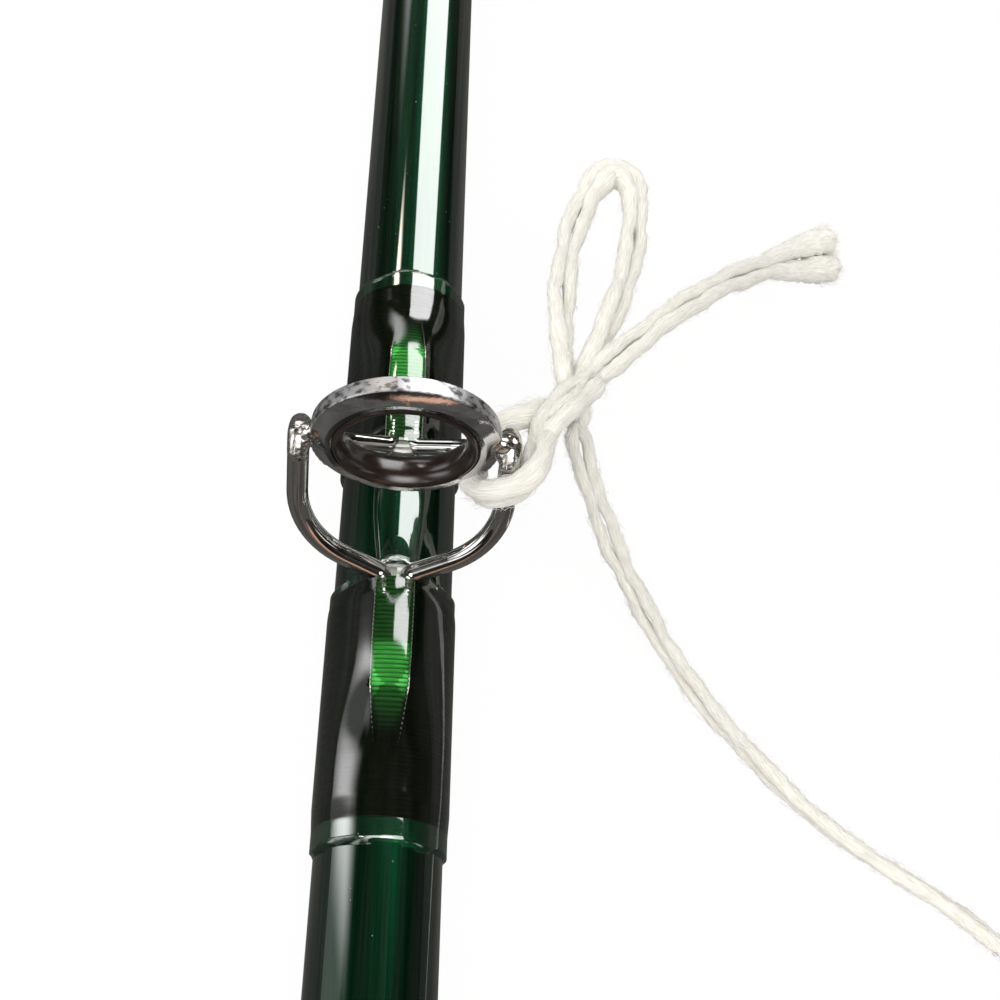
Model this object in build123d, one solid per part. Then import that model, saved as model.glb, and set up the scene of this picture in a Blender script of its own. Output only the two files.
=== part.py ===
from build123d import *
import math
import os

# A nine-foot, two-piece fly rod. All sizes in millimetres.
# Frame: the rod's axis is the Y axis, from the butt face at the origin to the tip at +Y.
# The line guides and the reel's hoods are on the +Z side. The rod lies on the grip's front swell and
# on the tip tube, so the floor under it rises by 0.26 degrees towards the tip. The loose string rests
# on that floor, 10.8 mm below the axis at the stripping guide.

# ---- Blank -------------------------------------------------------------------------------
ROD_LENGTH = 2743.0  # nine feet, butt face to the end of the tip tube
BLANK_BUTT_DIA = 10.208  # diameter that the taper has at the butt face
BLANK_TAPER = 0.003  # diameter lost per millimetre, 8.0 mm at the stripping guide
BLANK_START = 6.0  # the blank's end inside the butt cap
BUTT_BORE_RADIUS = 3.9
FERRULE_END = 1371.0  # end of the butt section
FERRULE_GAP = 6.0  # bare spigot that shows between the sections
SPIGOT_DEPTH = 60.0  # length glued into the butt section, and length that enters the tip
SPIGOT_RADIUS = 2.4
SPIGOT_TAPER = 0.0025  # radius lost per millimetre
SPIGOT_CLEARANCE = 0.05  # radial
TIP_BORE_RADIUS = 0.4
TIP_TUBE_WALL = 2.0  # closed end of the tip tube, past the blank's end

# ---- Reel seat and grip ------------------------------------------------------------------
CAP_RADIUS = 11.0
CAP_END = 13.0
SEAT_BORE_RADIUS = 6.2
SEAT_END = 114.0  # front of the reel seat, where the cork starts
BARREL_RADIUS = 8.5
BARREL_END = 62.0
THREAD_START = 14.0
THREAD_END = 60.5
THREAD_PITCH = 1.5
THREAD_DEPTH = 0.45
INSERT_RADIUS = 8.6
NUT_BORE_RADIUS = 8.58  # 0.08 mm of running clearance on the thread's crests
NUT_RADIUS = 11.0
NUT_FLUTES = 20
HOOD_LENGTH = 18.0
HOOD_POCKET_DEPTH = 13.0
HOOD_WALL = 1.3
HOOD_TOP = 13.8  # height of the hood's pocket wall above the axis
POCKET_RADIUS = 6.9  # a reel foot up to 13.8 mm wide
KEY_WIDTH = 2.8
KEYWAY_WIDTH = 3.2
KEYWAY_FLOOR = 7.5

CORK_RING_LENGTH = 12.7
CORK_RINGS = 14
GRIP_MIDDLE_RADIUS = 11.2
GRIP_SWELL = 1.8  # extra radius at the two swells, 13.0 mm in all
CHECK_LENGTH = 3.5
CHECK_RADIUS = 7.4

# ---- Hook keeper -------------------------------------------------------------------------
KEEPER_Y = 330.0
KEEPER_WIRE = 0.45  # wire radius of the strap and of the ring
KEEPER_RING_RADIUS = 3.2  # to the middle of the wire
KEEPER_PIVOT = 0.8  # hinge line above the blank's surface
KEEPER_REST_ANGLE = 14.0  # the ring's slope above the blank at rest, in degrees

# ---- Stripping guide ---------------------------------------------------------------------
GUIDE_Y = 736.0
RING_HEIGHT = 14.0  # ring centre above the rod's axis
RING_RADIUS = 5.85
LINER_RADIUS = 4.6
RING_BORE_RADIUS = 3.75
RING_HALF_WIDTH = 1.1
WIRE_RADIUS = 0.675
LEG_X = 6.52  # the two wires stand tangent to the ring
APEX_Z = 14.9  # corner of each wire's arch, rounded to 13.6
BEND_Z = 7.35  # corner where each leg turns in towards its foot
APEX_BEND = 1.2  # inside the arch, to the middle of the wire
LEG_BEND = 5.6
FOOT_BEND = 0.8
FOOT_ROOT = 4.9  # from the ring's plane to where the wires meet the foot
FOOT_END = 12.7  # full-height part of the foot
TOE_END = 16.1
FOOT_WIDTH = 2.5
FOOT_TOP = 5.15
THREAD_THICKNESS = 0.15
EPOXY_THICKNESS = 0.18
EPOXY_FEATHER = 3.0  # length over which the coat thins out at its ends
SADDLE_SET_IN = 0.03  # keeps the saddle over the foot just inside the coat round the blank
FRONT_THREAD_END = 20.8  # butt side
FRONT_EPOXY_END = 22.5
REAR_THREAD_END = 19.3  # tip side
REAR_EPOXY_END = 20.7

# ---- Snake guides: station from the butt face, inside diameter, wire radius --------------
# The first two stand on the butt section.
SNAKES = (
    (1041.0, 7.6, 0.55),
    (1315.0, 7.2, 0.55),
    (1575.0, 6.6, 0.50),
    (1803.0, 6.2, 0.50),
    (2006.0, 5.8, 0.45),
    (2191.0, 5.4, 0.45),
    (2356.0, 5.0, 0.40),
    (2502.0, 4.8, 0.40),
    (2629.0, 4.8, 0.40),
)

# ---- Tip top -----------------------------------------------------------------------------
TIP_TUBE_LENGTH = 15.0
TIP_TUBE_RADIUS = 1.55
TIP_LOOP_RADIUS = 3.7  # to the middle of the wire
TIP_WIRE = 0.5
TIP_LOOP_TILT = 20.0
TIP_LOOP_SETBACK = 2.2  # from the loop's centre back to the rod's end

# ---- Tag string: two-ply cotton, tied round the right-hand wire of the stripping guide ---
STRING_RADIUS = 0.85
KNOT_CENTRE = (10.2, 4.9, 10.2)  # from the guide's plane
TURN_ROUTE = (
    (9.1, 4.8, 10.5),
    (7.6, 4.0, 11.2),
    (5.9, 3.4, 10.9),
    (4.7, 1.7, 9.8),
    (4.4, -0.5, 9.7),
    (5.0, -2.0, 11.0),
    (6.2, -2.6, 12.4),
    (7.4, -2.2, 12.8),
    (8.2, -0.8, 12.7),
    (8.5, 0.9, 12.3),
    (9.0, 2.7, 11.7),
)
LOOP_ROUTE = (
    (10.5, 6.2, 10.2),
    (10.3, 9.2, 10.2),
    (10.2, 13.0, 10.0),
    (10.5, 17.0, 9.4),
    (11.1, 20.8, 8.7),
    (12.0, 24.3, 8.0),
    (13.1, 27.1, 7.6),
    (14.2, 28.9, 7.4),
    (15.9, 28.8, 7.3),
    (16.4, 26.8, 7.5),
    (16.1, 23.0, 8.1),
    (15.4, 18.6, 8.8),
    (14.1, 14.3, 9.4),
    (12.5, 10.4, 10.0),
    (11.2, 7.4, 10.3),
)
TAIL_ROUTE = (
    (10.8, 5.8, 10.6),
    (13.0, 8.6, 10.6),
    (16.3, 12.2, 10.2),
    (20.5, 16.9, 8.6),
    (24.4, 21.0, 6.2),
    (28.8, 25.1, 3.2),
    (33.6, 28.7, 0.2),
)
LEAD_ROUTE = (
    (11.1, 4.6, 9.9),
    (11.7, 4.2, 8.1),
    (12.8, 3.1, 5.2),
    (14.2, 1.7, 2.2),
    (16.0, 0.2, -1.2),
    (18.3, -1.5, -4.8),
    (20.9, -3.7, -8.1),
    (23.7, -6.6, -9.96),
    (27.3, -10.9, -9.98),
    (31.5, -15.2, -10.0),
    (36.0, -18.4, -10.01),
    (40.4, -20.9, -10.03),
    (44.6, -24.1, -10.04),
    (48.2, -28.2, -10.06),
    (50.8, -33.0, -10.08),
    (52.1, -38.4, -10.11),
    (52.0, -44.0, -10.13),
    (50.4, -49.4, -10.16),
)
KNOT_RADIUS = 1.7


def blank_radius(y):
    """Outer radius of the blank's taper at station y."""
    return (BLANK_BUTT_DIA - BLANK_TAPER * y) / 2


def turned(*corners):
    """Solid of revolution about the Y axis, from its (radius, station) corners."""
    return revolve(make_face(Polyline(*corners, close=True)), Axis.Y)


def blank_slug(start, end):
    """Solid of the blank's outside shape between two stations, used to cut what sits on it."""
    return turned((0, start), (blank_radius(start), start), (blank_radius(end), end), (0, end))


def sleeve(start, end, thickness, feather=0.0):
    """Thin coat round the blank, its two outer edges sloped over a length of feather if it is given."""
    edge = 0.3 * thickness if feather else thickness
    corners = [(blank_radius(start), start), (blank_radius(start) + edge, start)]
    if feather:
        corners.append((blank_radius(start + feather) + thickness, start + feather))
        corners.append((blank_radius(end - feather) + thickness, end - feather))
    corners += [(blank_radius(end) + edge, end), (blank_radius(end), end)]
    return turned(*corners)


def wire(points, radii, radius):
    """Round wire along straight runs joined by tangent arcs of the given radii."""
    path = FilletPolyline(*points, radius=radii)
    start = Plane(origin=path @ 0, z_dir=path % 0)
    return sweep(start * Circle(radius), path=path)


def bar(start, end, radius):
    """Straight round bar between two points."""
    direction = Vector(*end) - Vector(*start)
    plane = Plane(origin=start, z_dir=direction)
    return extrude(plane * Circle(radius), amount=direction.length)


def across(y):
    """Plane across the rod at station y, with its own x along X and its own y along Z."""
    return Plane(origin=(0, y, 0), x_dir=(1, 0, 0), z_dir=(0, -1, 0))


def saddle(y, half_width, top, grow):
    """Face across the rod: the taut outline of thread over the blank and a foot on top of it."""
    corner = 0.35
    shoulder = half_width - corner
    circles = Circle(blank_radius(y) + grow - SADDLE_SET_IN).edges()
    for x in (-shoulder, shoulder):
        circles += (Pos(x, top - corner) * Circle(corner + grow)).edges()
    return across(y) * make_hull(circles)


# ---- Reel seat ---------------------------------------------------------------------------
def butt_cap():
    """Turned cup over the end of the seat, with the flat butt face at the origin."""
    return turned(
        (0, 0),
        (CAP_RADIUS - 1.8, 0),
        (CAP_RADIUS, 1.8),
        (CAP_RADIUS, CAP_END - 1.0),
        (CAP_RADIUS - 1.0, CAP_END),
        (BARREL_RADIUS, CAP_END),
        (BARREL_RADIUS, BLANK_START),
        (0, BLANK_START),
    )


def seat_barrel():
    """Threaded tube with ring-shaped grooves for its thread and a keyway along the top."""
    corners = [(SEAT_BORE_RADIUS, BLANK_START), (BARREL_RADIUS, BLANK_START)]
    for turn in range(int((THREAD_END - THREAD_START) / THREAD_PITCH)):
        y = THREAD_START + turn * THREAD_PITCH
        corners += [(BARREL_RADIUS, y), (BARREL_RADIUS - THREAD_DEPTH, y + 0.45)]
        corners += [(BARREL_RADIUS - THREAD_DEPTH, y + 0.75), (BARREL_RADIUS, y + 1.2)]
    corners += [(BARREL_RADIUS, BARREL_END), (SEAT_BORE_RADIUS, BARREL_END)]
    length = BARREL_END - CAP_END
    keyway = Pos(0, CAP_END + length / 2, KEYWAY_FLOOR + 1) * Box(KEYWAY_WIDTH, length, 2)
    return turned(*corners) - keyway


def seat_insert():
    """Turned wood spacer that the reel's foot rests on."""
    return turned(
        (SEAT_BORE_RADIUS, BARREL_END),
        (INSERT_RADIUS, BARREL_END),
        (INSERT_RADIUS, SEAT_END),
        (SEAT_BORE_RADIUS, SEAT_END),
    )


def seat_arbor():
    """Bushing that fills the space between the blank and the seat."""
    start, end = BLANK_START + 2, SEAT_END - 2
    return turned(
        (blank_radius(start), start),
        (SEAT_BORE_RADIUS, start),
        (SEAT_BORE_RADIUS, end),
        (blank_radius(end), end),
    )


def hood(bore):
    """Collar with a raised pocket for one end of a reel foot. Its mouth is at y = 0."""
    outer = POCKET_RADIUS + HOOD_WALL
    centre = HOOD_TOP - outer
    collar = Pos(0, HOOD_LENGTH / 2, 0) * Rot(X=90) * Cylinder(10.4, HOOD_LENGTH)
    bulge = Pos(0, HOOD_LENGTH / 2, centre) * Rot(X=90) * Cylinder(outer, HOOD_LENGTH)
    envelope = turned(
        (0, 0), (HOOD_TOP, 0), (HOOD_TOP + 0.2, HOOD_LENGTH * 0.4), (10.5, HOOD_LENGTH), (0, HOOD_LENGTH)
    )
    pocket = Pos(0, HOOD_POCKET_DEPTH / 2, centre) * Rot(X=90) * Cylinder(POCKET_RADIUS, HOOD_POCKET_DEPTH)
    through = Pos(0, HOOD_LENGTH / 2, 0) * Rot(X=90) * Cylinder(bore, HOOD_LENGTH + 1)
    return (collar + bulge) & envelope - pocket - through


def fixed_hood():
    """Hood under the front of the seat, open towards the butt."""
    return Pos(0, SEAT_END - HOOD_LENGTH, 0) * hood(INSERT_RADIUS)


def sliding_hood():
    """Hood that runs on the barrel, open towards the tip, with a key in the barrel's keyway."""
    key_length = HOOD_LENGTH - HOOD_POCKET_DEPTH - 0.5
    key = Pos(0, HOOD_LENGTH - key_length / 2 - 0.25, 8.4) * Box(KEY_WIDTH, key_length, 1.4)
    shape = hood(NUT_BORE_RADIUS) + key
    return Pos(0, BARREL_END, 0) * Rot(Z=180) * shape


def nut(start, end):
    """Ring nut with a fluted rim."""
    edge = 0.6
    ring = turned(
        (NUT_BORE_RADIUS, start),
        (NUT_RADIUS - edge, start),
        (NUT_RADIUS, start + edge),
        (NUT_RADIUS, end - edge),
        (NUT_RADIUS - edge, end),
        (NUT_BORE_RADIUS, end),
    )
    for flute in range(NUT_FLUTES):
        angle = 2 * math.pi * flute / NUT_FLUTES
        x, z = (NUT_RADIUS + 0.35) * math.cos(angle), (NUT_RADIUS + 0.35) * math.sin(angle)
        ring -= Pos(x, (start + end) / 2, z) * Rot(X=90) * Cylinder(0.9, end - start + 1)
    return ring


# ---- Grip --------------------------------------------------------------------------------
def grip_radius(y):
    """Full-wells outline: two swells with a waist between them and a slope at each end."""
    length = CORK_RINGS * CORK_RING_LENGTH
    along = (y - SEAT_END) / length
    rear = math.exp(-(((along - 0.13) / 0.13) ** 2))
    front = math.exp(-(((along - 0.80) / 0.14) ** 2))
    slope = max(0.0, along - 0.82) / 0.18
    return GRIP_MIDDLE_RADIUS + GRIP_SWELL * max(rear, front) - 2.4 * slope**2


def cork_rings():
    """Cork rings glued side by side, each its own solid."""
    rings = []
    for index in range(CORK_RINGS):
        start = SEAT_END + index * CORK_RING_LENGTH
        end = start + CORK_RING_LENGTH
        middle = (start + end) / 2
        rim = ThreePointArc(
            (grip_radius(start), start), (grip_radius(middle) + 0.01, middle), (grip_radius(end), end)
        )
        rest = Polyline(
            (grip_radius(end), end),
            (blank_radius(end), end),
            (blank_radius(start), start),
            (grip_radius(start), start),
        )
        rings.append(revolve(make_face([rim, *rest.edges()]), Axis.Y))
    return Compound([ring.solid() for ring in rings])


def winding_check():
    """Turned trim ring in front of the cork."""
    start = SEAT_END + CORK_RINGS * CORK_RING_LENGTH
    end = start + CHECK_LENGTH
    return turned(
        (blank_radius(start), start),
        (CHECK_RADIUS, start),
        (CHECK_RADIUS, start + 1.2),
        (blank_radius(end) + 0.6, end),
        (blank_radius(end), end),
    )


# ---- Hook keeper -------------------------------------------------------------------------
def keeper_strap():
    """Wire bent into a small bridge with two feet along the blank."""
    low = blank_radius(KEEPER_Y - 9) + KEEPER_WIRE
    high = low + 1.6
    points = [(0, -9.0, low), (0, -2.7, low), (0, -1.35, high), (0, 1.35, high), (0, 2.7, low), (0, 9.0, low)]
    return Pos(0, KEEPER_Y, 0) * wire(points, [0.6, 0.6, 0.6, 0.6], KEEPER_WIRE)


def keeper_ring():
    """Ring that swings on the strap about a line along X, lying back towards the butt."""
    ring = Pos(0, -KEEPER_RING_RADIUS, 0) * Torus(KEEPER_RING_RADIUS, KEEPER_WIRE)
    pivot = blank_radius(KEEPER_Y) + KEEPER_PIVOT
    return Pos(0, KEEPER_Y, pivot) * Rot(X=-KEEPER_REST_ANGLE) * ring


def foot_wrap(start, end, foot_radius, foot_centre, thickness):
    """Thread and varnish over the blank and a round foot on top of it."""
    circles = Circle(blank_radius((start + end) / 2) + thickness).edges()
    circles += (Pos(0, foot_centre) * Circle(foot_radius + thickness)).edges()
    hull = extrude(across(start) * make_hull(circles), amount=start - end)
    return hull - blank_slug(start - 1, end + 1)


def keeper_wraps():
    """The two wraps that hold the strap's feet."""
    strap = keeper_strap()
    centre = blank_radius(KEEPER_Y - 9) + KEEPER_WIRE
    wraps = []
    for start, end in ((KEEPER_Y - 11.5, KEEPER_Y - 4.2), (KEEPER_Y + 4.2, KEEPER_Y + 11.5)):
        wraps.append((foot_wrap(start, end, KEEPER_WIRE, centre, 0.3) - strap).solid())
    return Compound(wraps)


# ---- Blank and ferrule -------------------------------------------------------------------
def butt_blank():
    """Hollow tapered tube from the butt cap to the ferrule."""
    socket = FERRULE_END - SPIGOT_DEPTH
    return turned(
        (blank_radius(BLANK_START), BLANK_START),
        (blank_radius(FERRULE_END), FERRULE_END),
        (SPIGOT_RADIUS, FERRULE_END),
        (SPIGOT_RADIUS, socket),
        (BUTT_BORE_RADIUS, BLANK_START),
    )


def spigot_radius(y):
    """Radius of the spigot's free part at station y."""
    return SPIGOT_RADIUS - SPIGOT_TAPER * (y - FERRULE_END)


def ferrule_spigot():
    """Solid plug glued into the butt section, tapered where it enters the tip section."""
    socket = FERRULE_END - SPIGOT_DEPTH
    end = FERRULE_END + FERRULE_GAP + SPIGOT_DEPTH
    return turned(
        (0, socket), (SPIGOT_RADIUS, socket), (SPIGOT_RADIUS, FERRULE_END), (spigot_radius(end), end), (0, end)
    )


def tip_blank():
    """Hollow tapered tube from the ferrule to the tip tube."""
    start = FERRULE_END + FERRULE_GAP
    socket = start + SPIGOT_DEPTH + 4
    end = ROD_LENGTH - TIP_TUBE_WALL
    return turned(
        (spigot_radius(start) + SPIGOT_CLEARANCE, start),
        (blank_radius(start), start),
        (blank_radius(end), end),
        (TIP_BORE_RADIUS, end),
        (spigot_radius(socket) + SPIGOT_CLEARANCE, socket),
    )


# ---- Stripping guide ---------------------------------------------------------------------
def at_guide(shape):
    """Move a shape from the stripping guide's own plane to its station."""
    return Pos(0, GUIDE_Y, 0) * shape


def local_slug():
    """Outside shape of the blank under the guide, in the guide's own plane."""
    reach = REAR_EPOXY_END + 10
    return Pos(0, -GUIDE_Y, 0) * blank_slug(GUIDE_Y - reach, GUIDE_Y + reach)


def frame_wire(side):
    """One wire of the frame: front foot, out and up, over beside the ring, and down to the rear foot."""
    inner = WIRE_RADIUS + 0.01
    low = math.sqrt((blank_radius(GUIDE_Y) + WIRE_RADIUS) ** 2 - inner**2)
    bend_y = FOOT_ROOT * (APEX_Z - BEND_Z) / (APEX_Z - low)
    points = [
        (side * inner, -FOOT_ROOT - 1.7, low),
        (side * inner, -FOOT_ROOT, low),
        (side * LEG_X, -bend_y, BEND_Z),
        (side * LEG_X, 0, APEX_Z),
        (side * LEG_X, bend_y, BEND_Z),
        (side * inner, FOOT_ROOT, low),
        (side * inner, FOOT_ROOT + 1.7, low),
    ]
    bends = [FOOT_BEND, LEG_BEND, APEX_BEND, LEG_BEND, FOOT_BEND]
    return wire(points, bends, WIRE_RADIUS) - local_slug()


def foot(side):
    """Ground foot: flat on top, sloped at the toe, hollow underneath to sit on the blank."""
    root, end, toe = FOOT_ROOT - 0.3, FOOT_END, TOE_END
    half = FOOT_WIDTH / 2
    plan = Polyline(
        (-half, side * root),
        (-half, side * end),
        (-half * 0.6, side * toe),
        (half * 0.6, side * toe),
        (half, side * end),
        (half, side * root),
        close=True,
    )
    block = extrude(Plane.XY.offset(3.4) * make_face(plan), amount=3)
    profile = Polyline(
        (side * root, 3.0), (side * root, FOOT_TOP), (side * end, FOOT_TOP), (side * toe, 4.12), (side * toe, 3.0),
        close=True,
    )
    slab = extrude(Plane.YZ.offset(-2) * make_face(profile), amount=4)
    return (block & slab) - local_slug() - frame_wire(1) - frame_wire(-1)


def ring_seat():
    """Polished outer ring with sloped shoulders."""
    flat, shoulder, lip = 0.5, RING_HALF_WIDTH - 0.1, LINER_RADIUS + 0.5
    ring = turned(
        (LINER_RADIUS, -shoulder),
        (lip, -shoulder),
        (RING_RADIUS, -flat),
        (RING_RADIUS, flat),
        (lip, shoulder),
        (LINER_RADIUS, shoulder),
    )
    return Pos(0, 0, RING_HEIGHT) * ring


def ring_liner():
    """Hard liner with a straight land inside and rounded lips."""
    outline = []
    for face in (-1, 1):
        lip = [(RING_BORE_RADIUS, 0.75), (RING_BORE_RADIUS + 0.1, 0.98), (RING_BORE_RADIUS + 0.35, 1.1)]
        lip += [(LINER_RADIUS - 0.15, 1.1), (LINER_RADIUS, 0.95)]
        points = [(radius, face * y) for radius, y in lip]
        outline += points if face < 0 else points[::-1]
    return Pos(0, 0, RING_HEIGHT) * turned(*outline)


def ring_braze():
    """Brazed lugs that join the ring to the two wires."""
    lugs = []
    for side in (-1, 1):
        lug = bar((side * 5.0, 0, 13.3), (side * LEG_X, 0, 13.3), 0.95)
        lug = lug - ring_seat() - ring_liner() - frame_wire(side)
        lugs.append(lug.solids().sort_by(SortBy.VOLUME)[-1])
    return Compound(lugs)


def wrap_hull(side, grow, wrap_end, feather=0.0):
    """Solid outline of thread or epoxy over one foot, with the blank left inside it."""
    half, root = FOOT_WIDTH / 2, FOOT_ROOT + 0.05 - grow * 0.4
    outline = (
        (root, half, FOOT_TOP, THREAD_THICKNESS + 0.05 if feather else grow),
        (FOOT_END, half, FOOT_TOP, grow),
        (TOE_END + 0.6, half * 0.6, 4.3, grow),
    )
    sections = [saddle(GUIDE_Y + side * y, *shape) for y, *shape in outline]
    hull = loft(sections, ruled=True)
    ends = sorted((GUIDE_Y + side * root, GUIDE_Y + side * wrap_end))
    return hull + sleeve(*ends, grow, feather) + blank_slug(*ends)


def thread(side, wrap_end):
    """Thread wound over the foot and on along the blank."""
    ends = sorted((GUIDE_Y + side * 2, GUIDE_Y + side * (wrap_end + 4)))
    wrap = wrap_hull(side, THREAD_THICKNESS, wrap_end) - blank_slug(*ends)
    return wrap - at_guide(foot(side)) - at_guide(frame_wire(1)) - at_guide(frame_wire(-1))


def epoxy(side, thread_end, epoxy_end):
    """Clear coat over the thread, run out onto the bare blank."""
    ends = sorted((GUIDE_Y + side * 2, GUIDE_Y + side * (epoxy_end + 4)))
    coat = wrap_hull(side, EPOXY_THICKNESS + THREAD_THICKNESS, epoxy_end, EPOXY_FEATHER)
    coat = coat - wrap_hull(side, THREAD_THICKNESS, thread_end) - blank_slug(*ends)
    coat = coat - at_guide(foot(side)) - at_guide(frame_wire(1)) - at_guide(frame_wire(-1))
    return coat.solids().sort_by(SortBy.VOLUME)[-1]


# ---- Snake guides ------------------------------------------------------------------------
def snake_guide(y, inside, radius):
    """One wire bent into a single open turn with a foot at each end."""
    loop = inside + 2 * radius
    low = blank_radius(y - inside - 9) + radius
    reach = 0.85 * loop
    foot_end = reach + 8.0
    points = [
        (0, -foot_end, low),
        (0, -reach, low),
        (0.60 * loop, -0.55 * reach, low + 0.42 * loop),
        (0.34 * loop, -0.18 * reach, low + 1.04 * loop),
        (-0.34 * loop, 0.18 * reach, low + 1.04 * loop),
        (-0.60 * loop, 0.55 * reach, low + 0.42 * loop),
        (0, reach, low),
        (0, foot_end, low),
    ]
    radii = [1.6, 0.22 * loop, 0.24 * loop, 0.24 * loop, 0.22 * loop, 1.6]
    return Pos(0, y, 0) * wire(points, radii, radius)


def snake_wraps(y, inside, radius):
    """The thread wraps over a snake guide's two feet."""
    guide = snake_guide(y, inside, radius)
    reach = 0.85 * (inside + 2 * radius)
    centre = blank_radius(y - inside - 9) + radius
    wraps = []
    for side in (-1, 1):
        start, end = sorted((y + side * (reach + 1.6), y + side * (reach + 11.0)))
        wraps.append((foot_wrap(start, end, radius, centre, 0.3) - guide).solid())
    return Compound(wraps)


# ---- Tip top -----------------------------------------------------------------------------
def tip_top_tube():
    """Closed tube glued over the end of the blank."""
    start, end = ROD_LENGTH - TIP_TUBE_LENGTH, ROD_LENGTH - TIP_TUBE_WALL
    return turned(
        (blank_radius(start), start),
        (TIP_TUBE_RADIUS, start),
        (TIP_TUBE_RADIUS, ROD_LENGTH - 0.4),
        (TIP_TUBE_RADIUS - 0.4, ROD_LENGTH),
        (0, ROD_LENGTH),
        (0, end),
        (blank_radius(end), end),
    )


def tip_top_loop():
    """Wire loop for the line, leaning towards the tip, its lowest point on the tube."""
    drop = TIP_LOOP_RADIUS * math.cos(math.radians(TIP_LOOP_TILT))
    centre_z = TIP_TUBE_RADIUS + TIP_WIRE + 0.01 + drop
    loop = Torus(TIP_LOOP_RADIUS, TIP_WIRE)
    return Pos(0, ROD_LENGTH - TIP_LOOP_SETBACK, centre_z) * Rot(X=90 - TIP_LOOP_TILT) * loop


def tip_top_struts():
    """The two braces from the tube's back end to the loop's shoulders."""
    tilt = math.radians(TIP_LOOP_TILT)
    centre_z = TIP_TUBE_RADIUS + TIP_WIRE + TIP_LOOP_RADIUS * math.cos(tilt)
    rise = 0.35 * TIP_LOOP_RADIUS
    shoulder_x = math.sqrt(TIP_LOOP_RADIUS**2 - rise**2)
    shoulder_y = ROD_LENGTH - TIP_LOOP_SETBACK + rise * math.sin(tilt)
    shoulder_z = centre_z + rise * math.cos(tilt)
    tube = Pos(0, ROD_LENGTH - TIP_TUBE_LENGTH / 2, 0) * Rot(X=90) * Cylinder(TIP_TUBE_RADIUS, TIP_TUBE_LENGTH)
    struts = []
    for side in (-1, 1):
        foot_point = (side * 0.9, ROD_LENGTH - TIP_TUBE_LENGTH + 1.5, TIP_TUBE_RADIUS)
        strut = bar(foot_point, (side * shoulder_x, shoulder_y, shoulder_z), TIP_WIRE * 0.8)
        struts.append((strut - tube - tip_top_loop()).solids().sort_by(SortBy.VOLUME)[-1])
    return Compound(struts)


# ---- Tag string --------------------------------------------------------------------------
def string_tube(name, route):
    """Tube along a route: each corner is an arc as large as its two runs allow."""
    points = [Vector(x, y + GUIDE_Y, z) for x, y, z in route]
    radii = []
    for before, here, after in zip(points, points[1:], points[2:]):
        turn = math.radians((here - before).get_angle(after - here))
        run = min((here - before).length, (after - here).length)
        radii.append(0.45 * run / math.tan(turn / 2))
    path = FilletPolyline(*points, radius=radii)
    tube = sweep(Plane(origin=path @ 0, z_dir=path % 0) * Circle(STRING_RADIUS), path=path)
    share = tube.volume / (math.pi * STRING_RADIUS**2 * path.length)
    shown = ", ".join(f"{radius:.1f}" for radius in radii)
    print(f"{name}: {path.length:.1f} mm long, volume share {share:.4f}, arc radii {shown}")
    return tube


def tag_knot():
    """The pulled-down crossing of the slipped knot."""
    x, y, z = KNOT_CENTRE
    return Pos(x, y + GUIDE_Y, z) * Sphere(KNOT_RADIUS)


def build_nodes():
    """Every sub-part by name, in the rod's own frame."""
    nodes = {
        "butt_cap": butt_cap(),
        "seat_barrel": seat_barrel(),
        "seat_insert": seat_insert(),
        "seat_arbor": seat_arbor(),
        "fixed_hood": fixed_hood(),
        "sliding_hood": sliding_hood(),
        "locking_nut": nut(36.0, 43.7),
        "jam_nut": nut(30.0, 35.7),
        "cork_rings": cork_rings(),
        "winding_check": winding_check(),
        "keeper_strap": keeper_strap(),
        "keeper_ring": keeper_ring(),
        "keeper_wraps": keeper_wraps(),
        "butt_blank": butt_blank(),
        "frame_wire_left": at_guide(frame_wire(-1)),
        "frame_wire_right": at_guide(frame_wire(1)),
        "foot_front": at_guide(foot(-1)),
        "foot_rear": at_guide(foot(1)),
        "ring_braze": at_guide(ring_braze()),
        "ring_seat": at_guide(ring_seat()),
        "ring_liner": at_guide(ring_liner()),
        "front_thread": thread(-1, FRONT_THREAD_END),
        "rear_thread": thread(1, REAR_THREAD_END),
        "front_epoxy": epoxy(-1, FRONT_THREAD_END, FRONT_EPOXY_END),
        "rear_epoxy": epoxy(1, REAR_THREAD_END, REAR_EPOXY_END),
        "tag_turn": string_tube("tag_turn", TURN_ROUTE),
        "tag_knot": tag_knot(),
        "tag_loop": string_tube("tag_loop", LOOP_ROUTE),
        "tag_tail": string_tube("tag_tail", TAIL_ROUTE),
        "tag_lead": string_tube("tag_lead", LEAD_ROUTE),
        "ferrule_spigot": ferrule_spigot(),
        "ferrule_wrap_butt": sleeve(FERRULE_END - 28, FERRULE_END, 0.3),
        "ferrule_wrap_tip": sleeve(FERRULE_END + FERRULE_GAP, FERRULE_END + FERRULE_GAP + 28, 0.3),
        "tip_blank": tip_blank(),
        "tip_top_tube": tip_top_tube(),
        "tip_top_loop": tip_top_loop(),
        "tip_top_struts": tip_top_struts(),
        "tip_top_wrap": sleeve(ROD_LENGTH - TIP_TUBE_LENGTH - 16, ROD_LENGTH - TIP_TUBE_LENGTH, 0.3),
    }
    for number, snake in enumerate(SNAKES, start=1):
        nodes[f"snake_{number}"] = snake_guide(*snake)
        nodes[f"snake_wraps_{number}"] = snake_wraps(*snake)
    return nodes


os.makedirs("parts", exist_ok=True)
for name, shape in build_nodes().items():
    export_step(shape, f"parts/{name}.step")
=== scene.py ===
"""A two-piece fly rod with a tag string on its stripping guide: finishes and close-up detail.

Sizes in the classes below are in millimetres and become metres when a mesh is made.
"""

import logging
import math
import random
from dataclasses import dataclass
from enum import Enum
from typing import Any, Sequence

import bmesh
import bpy
import numpy as np
from mathutils import Matrix, Vector


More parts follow.
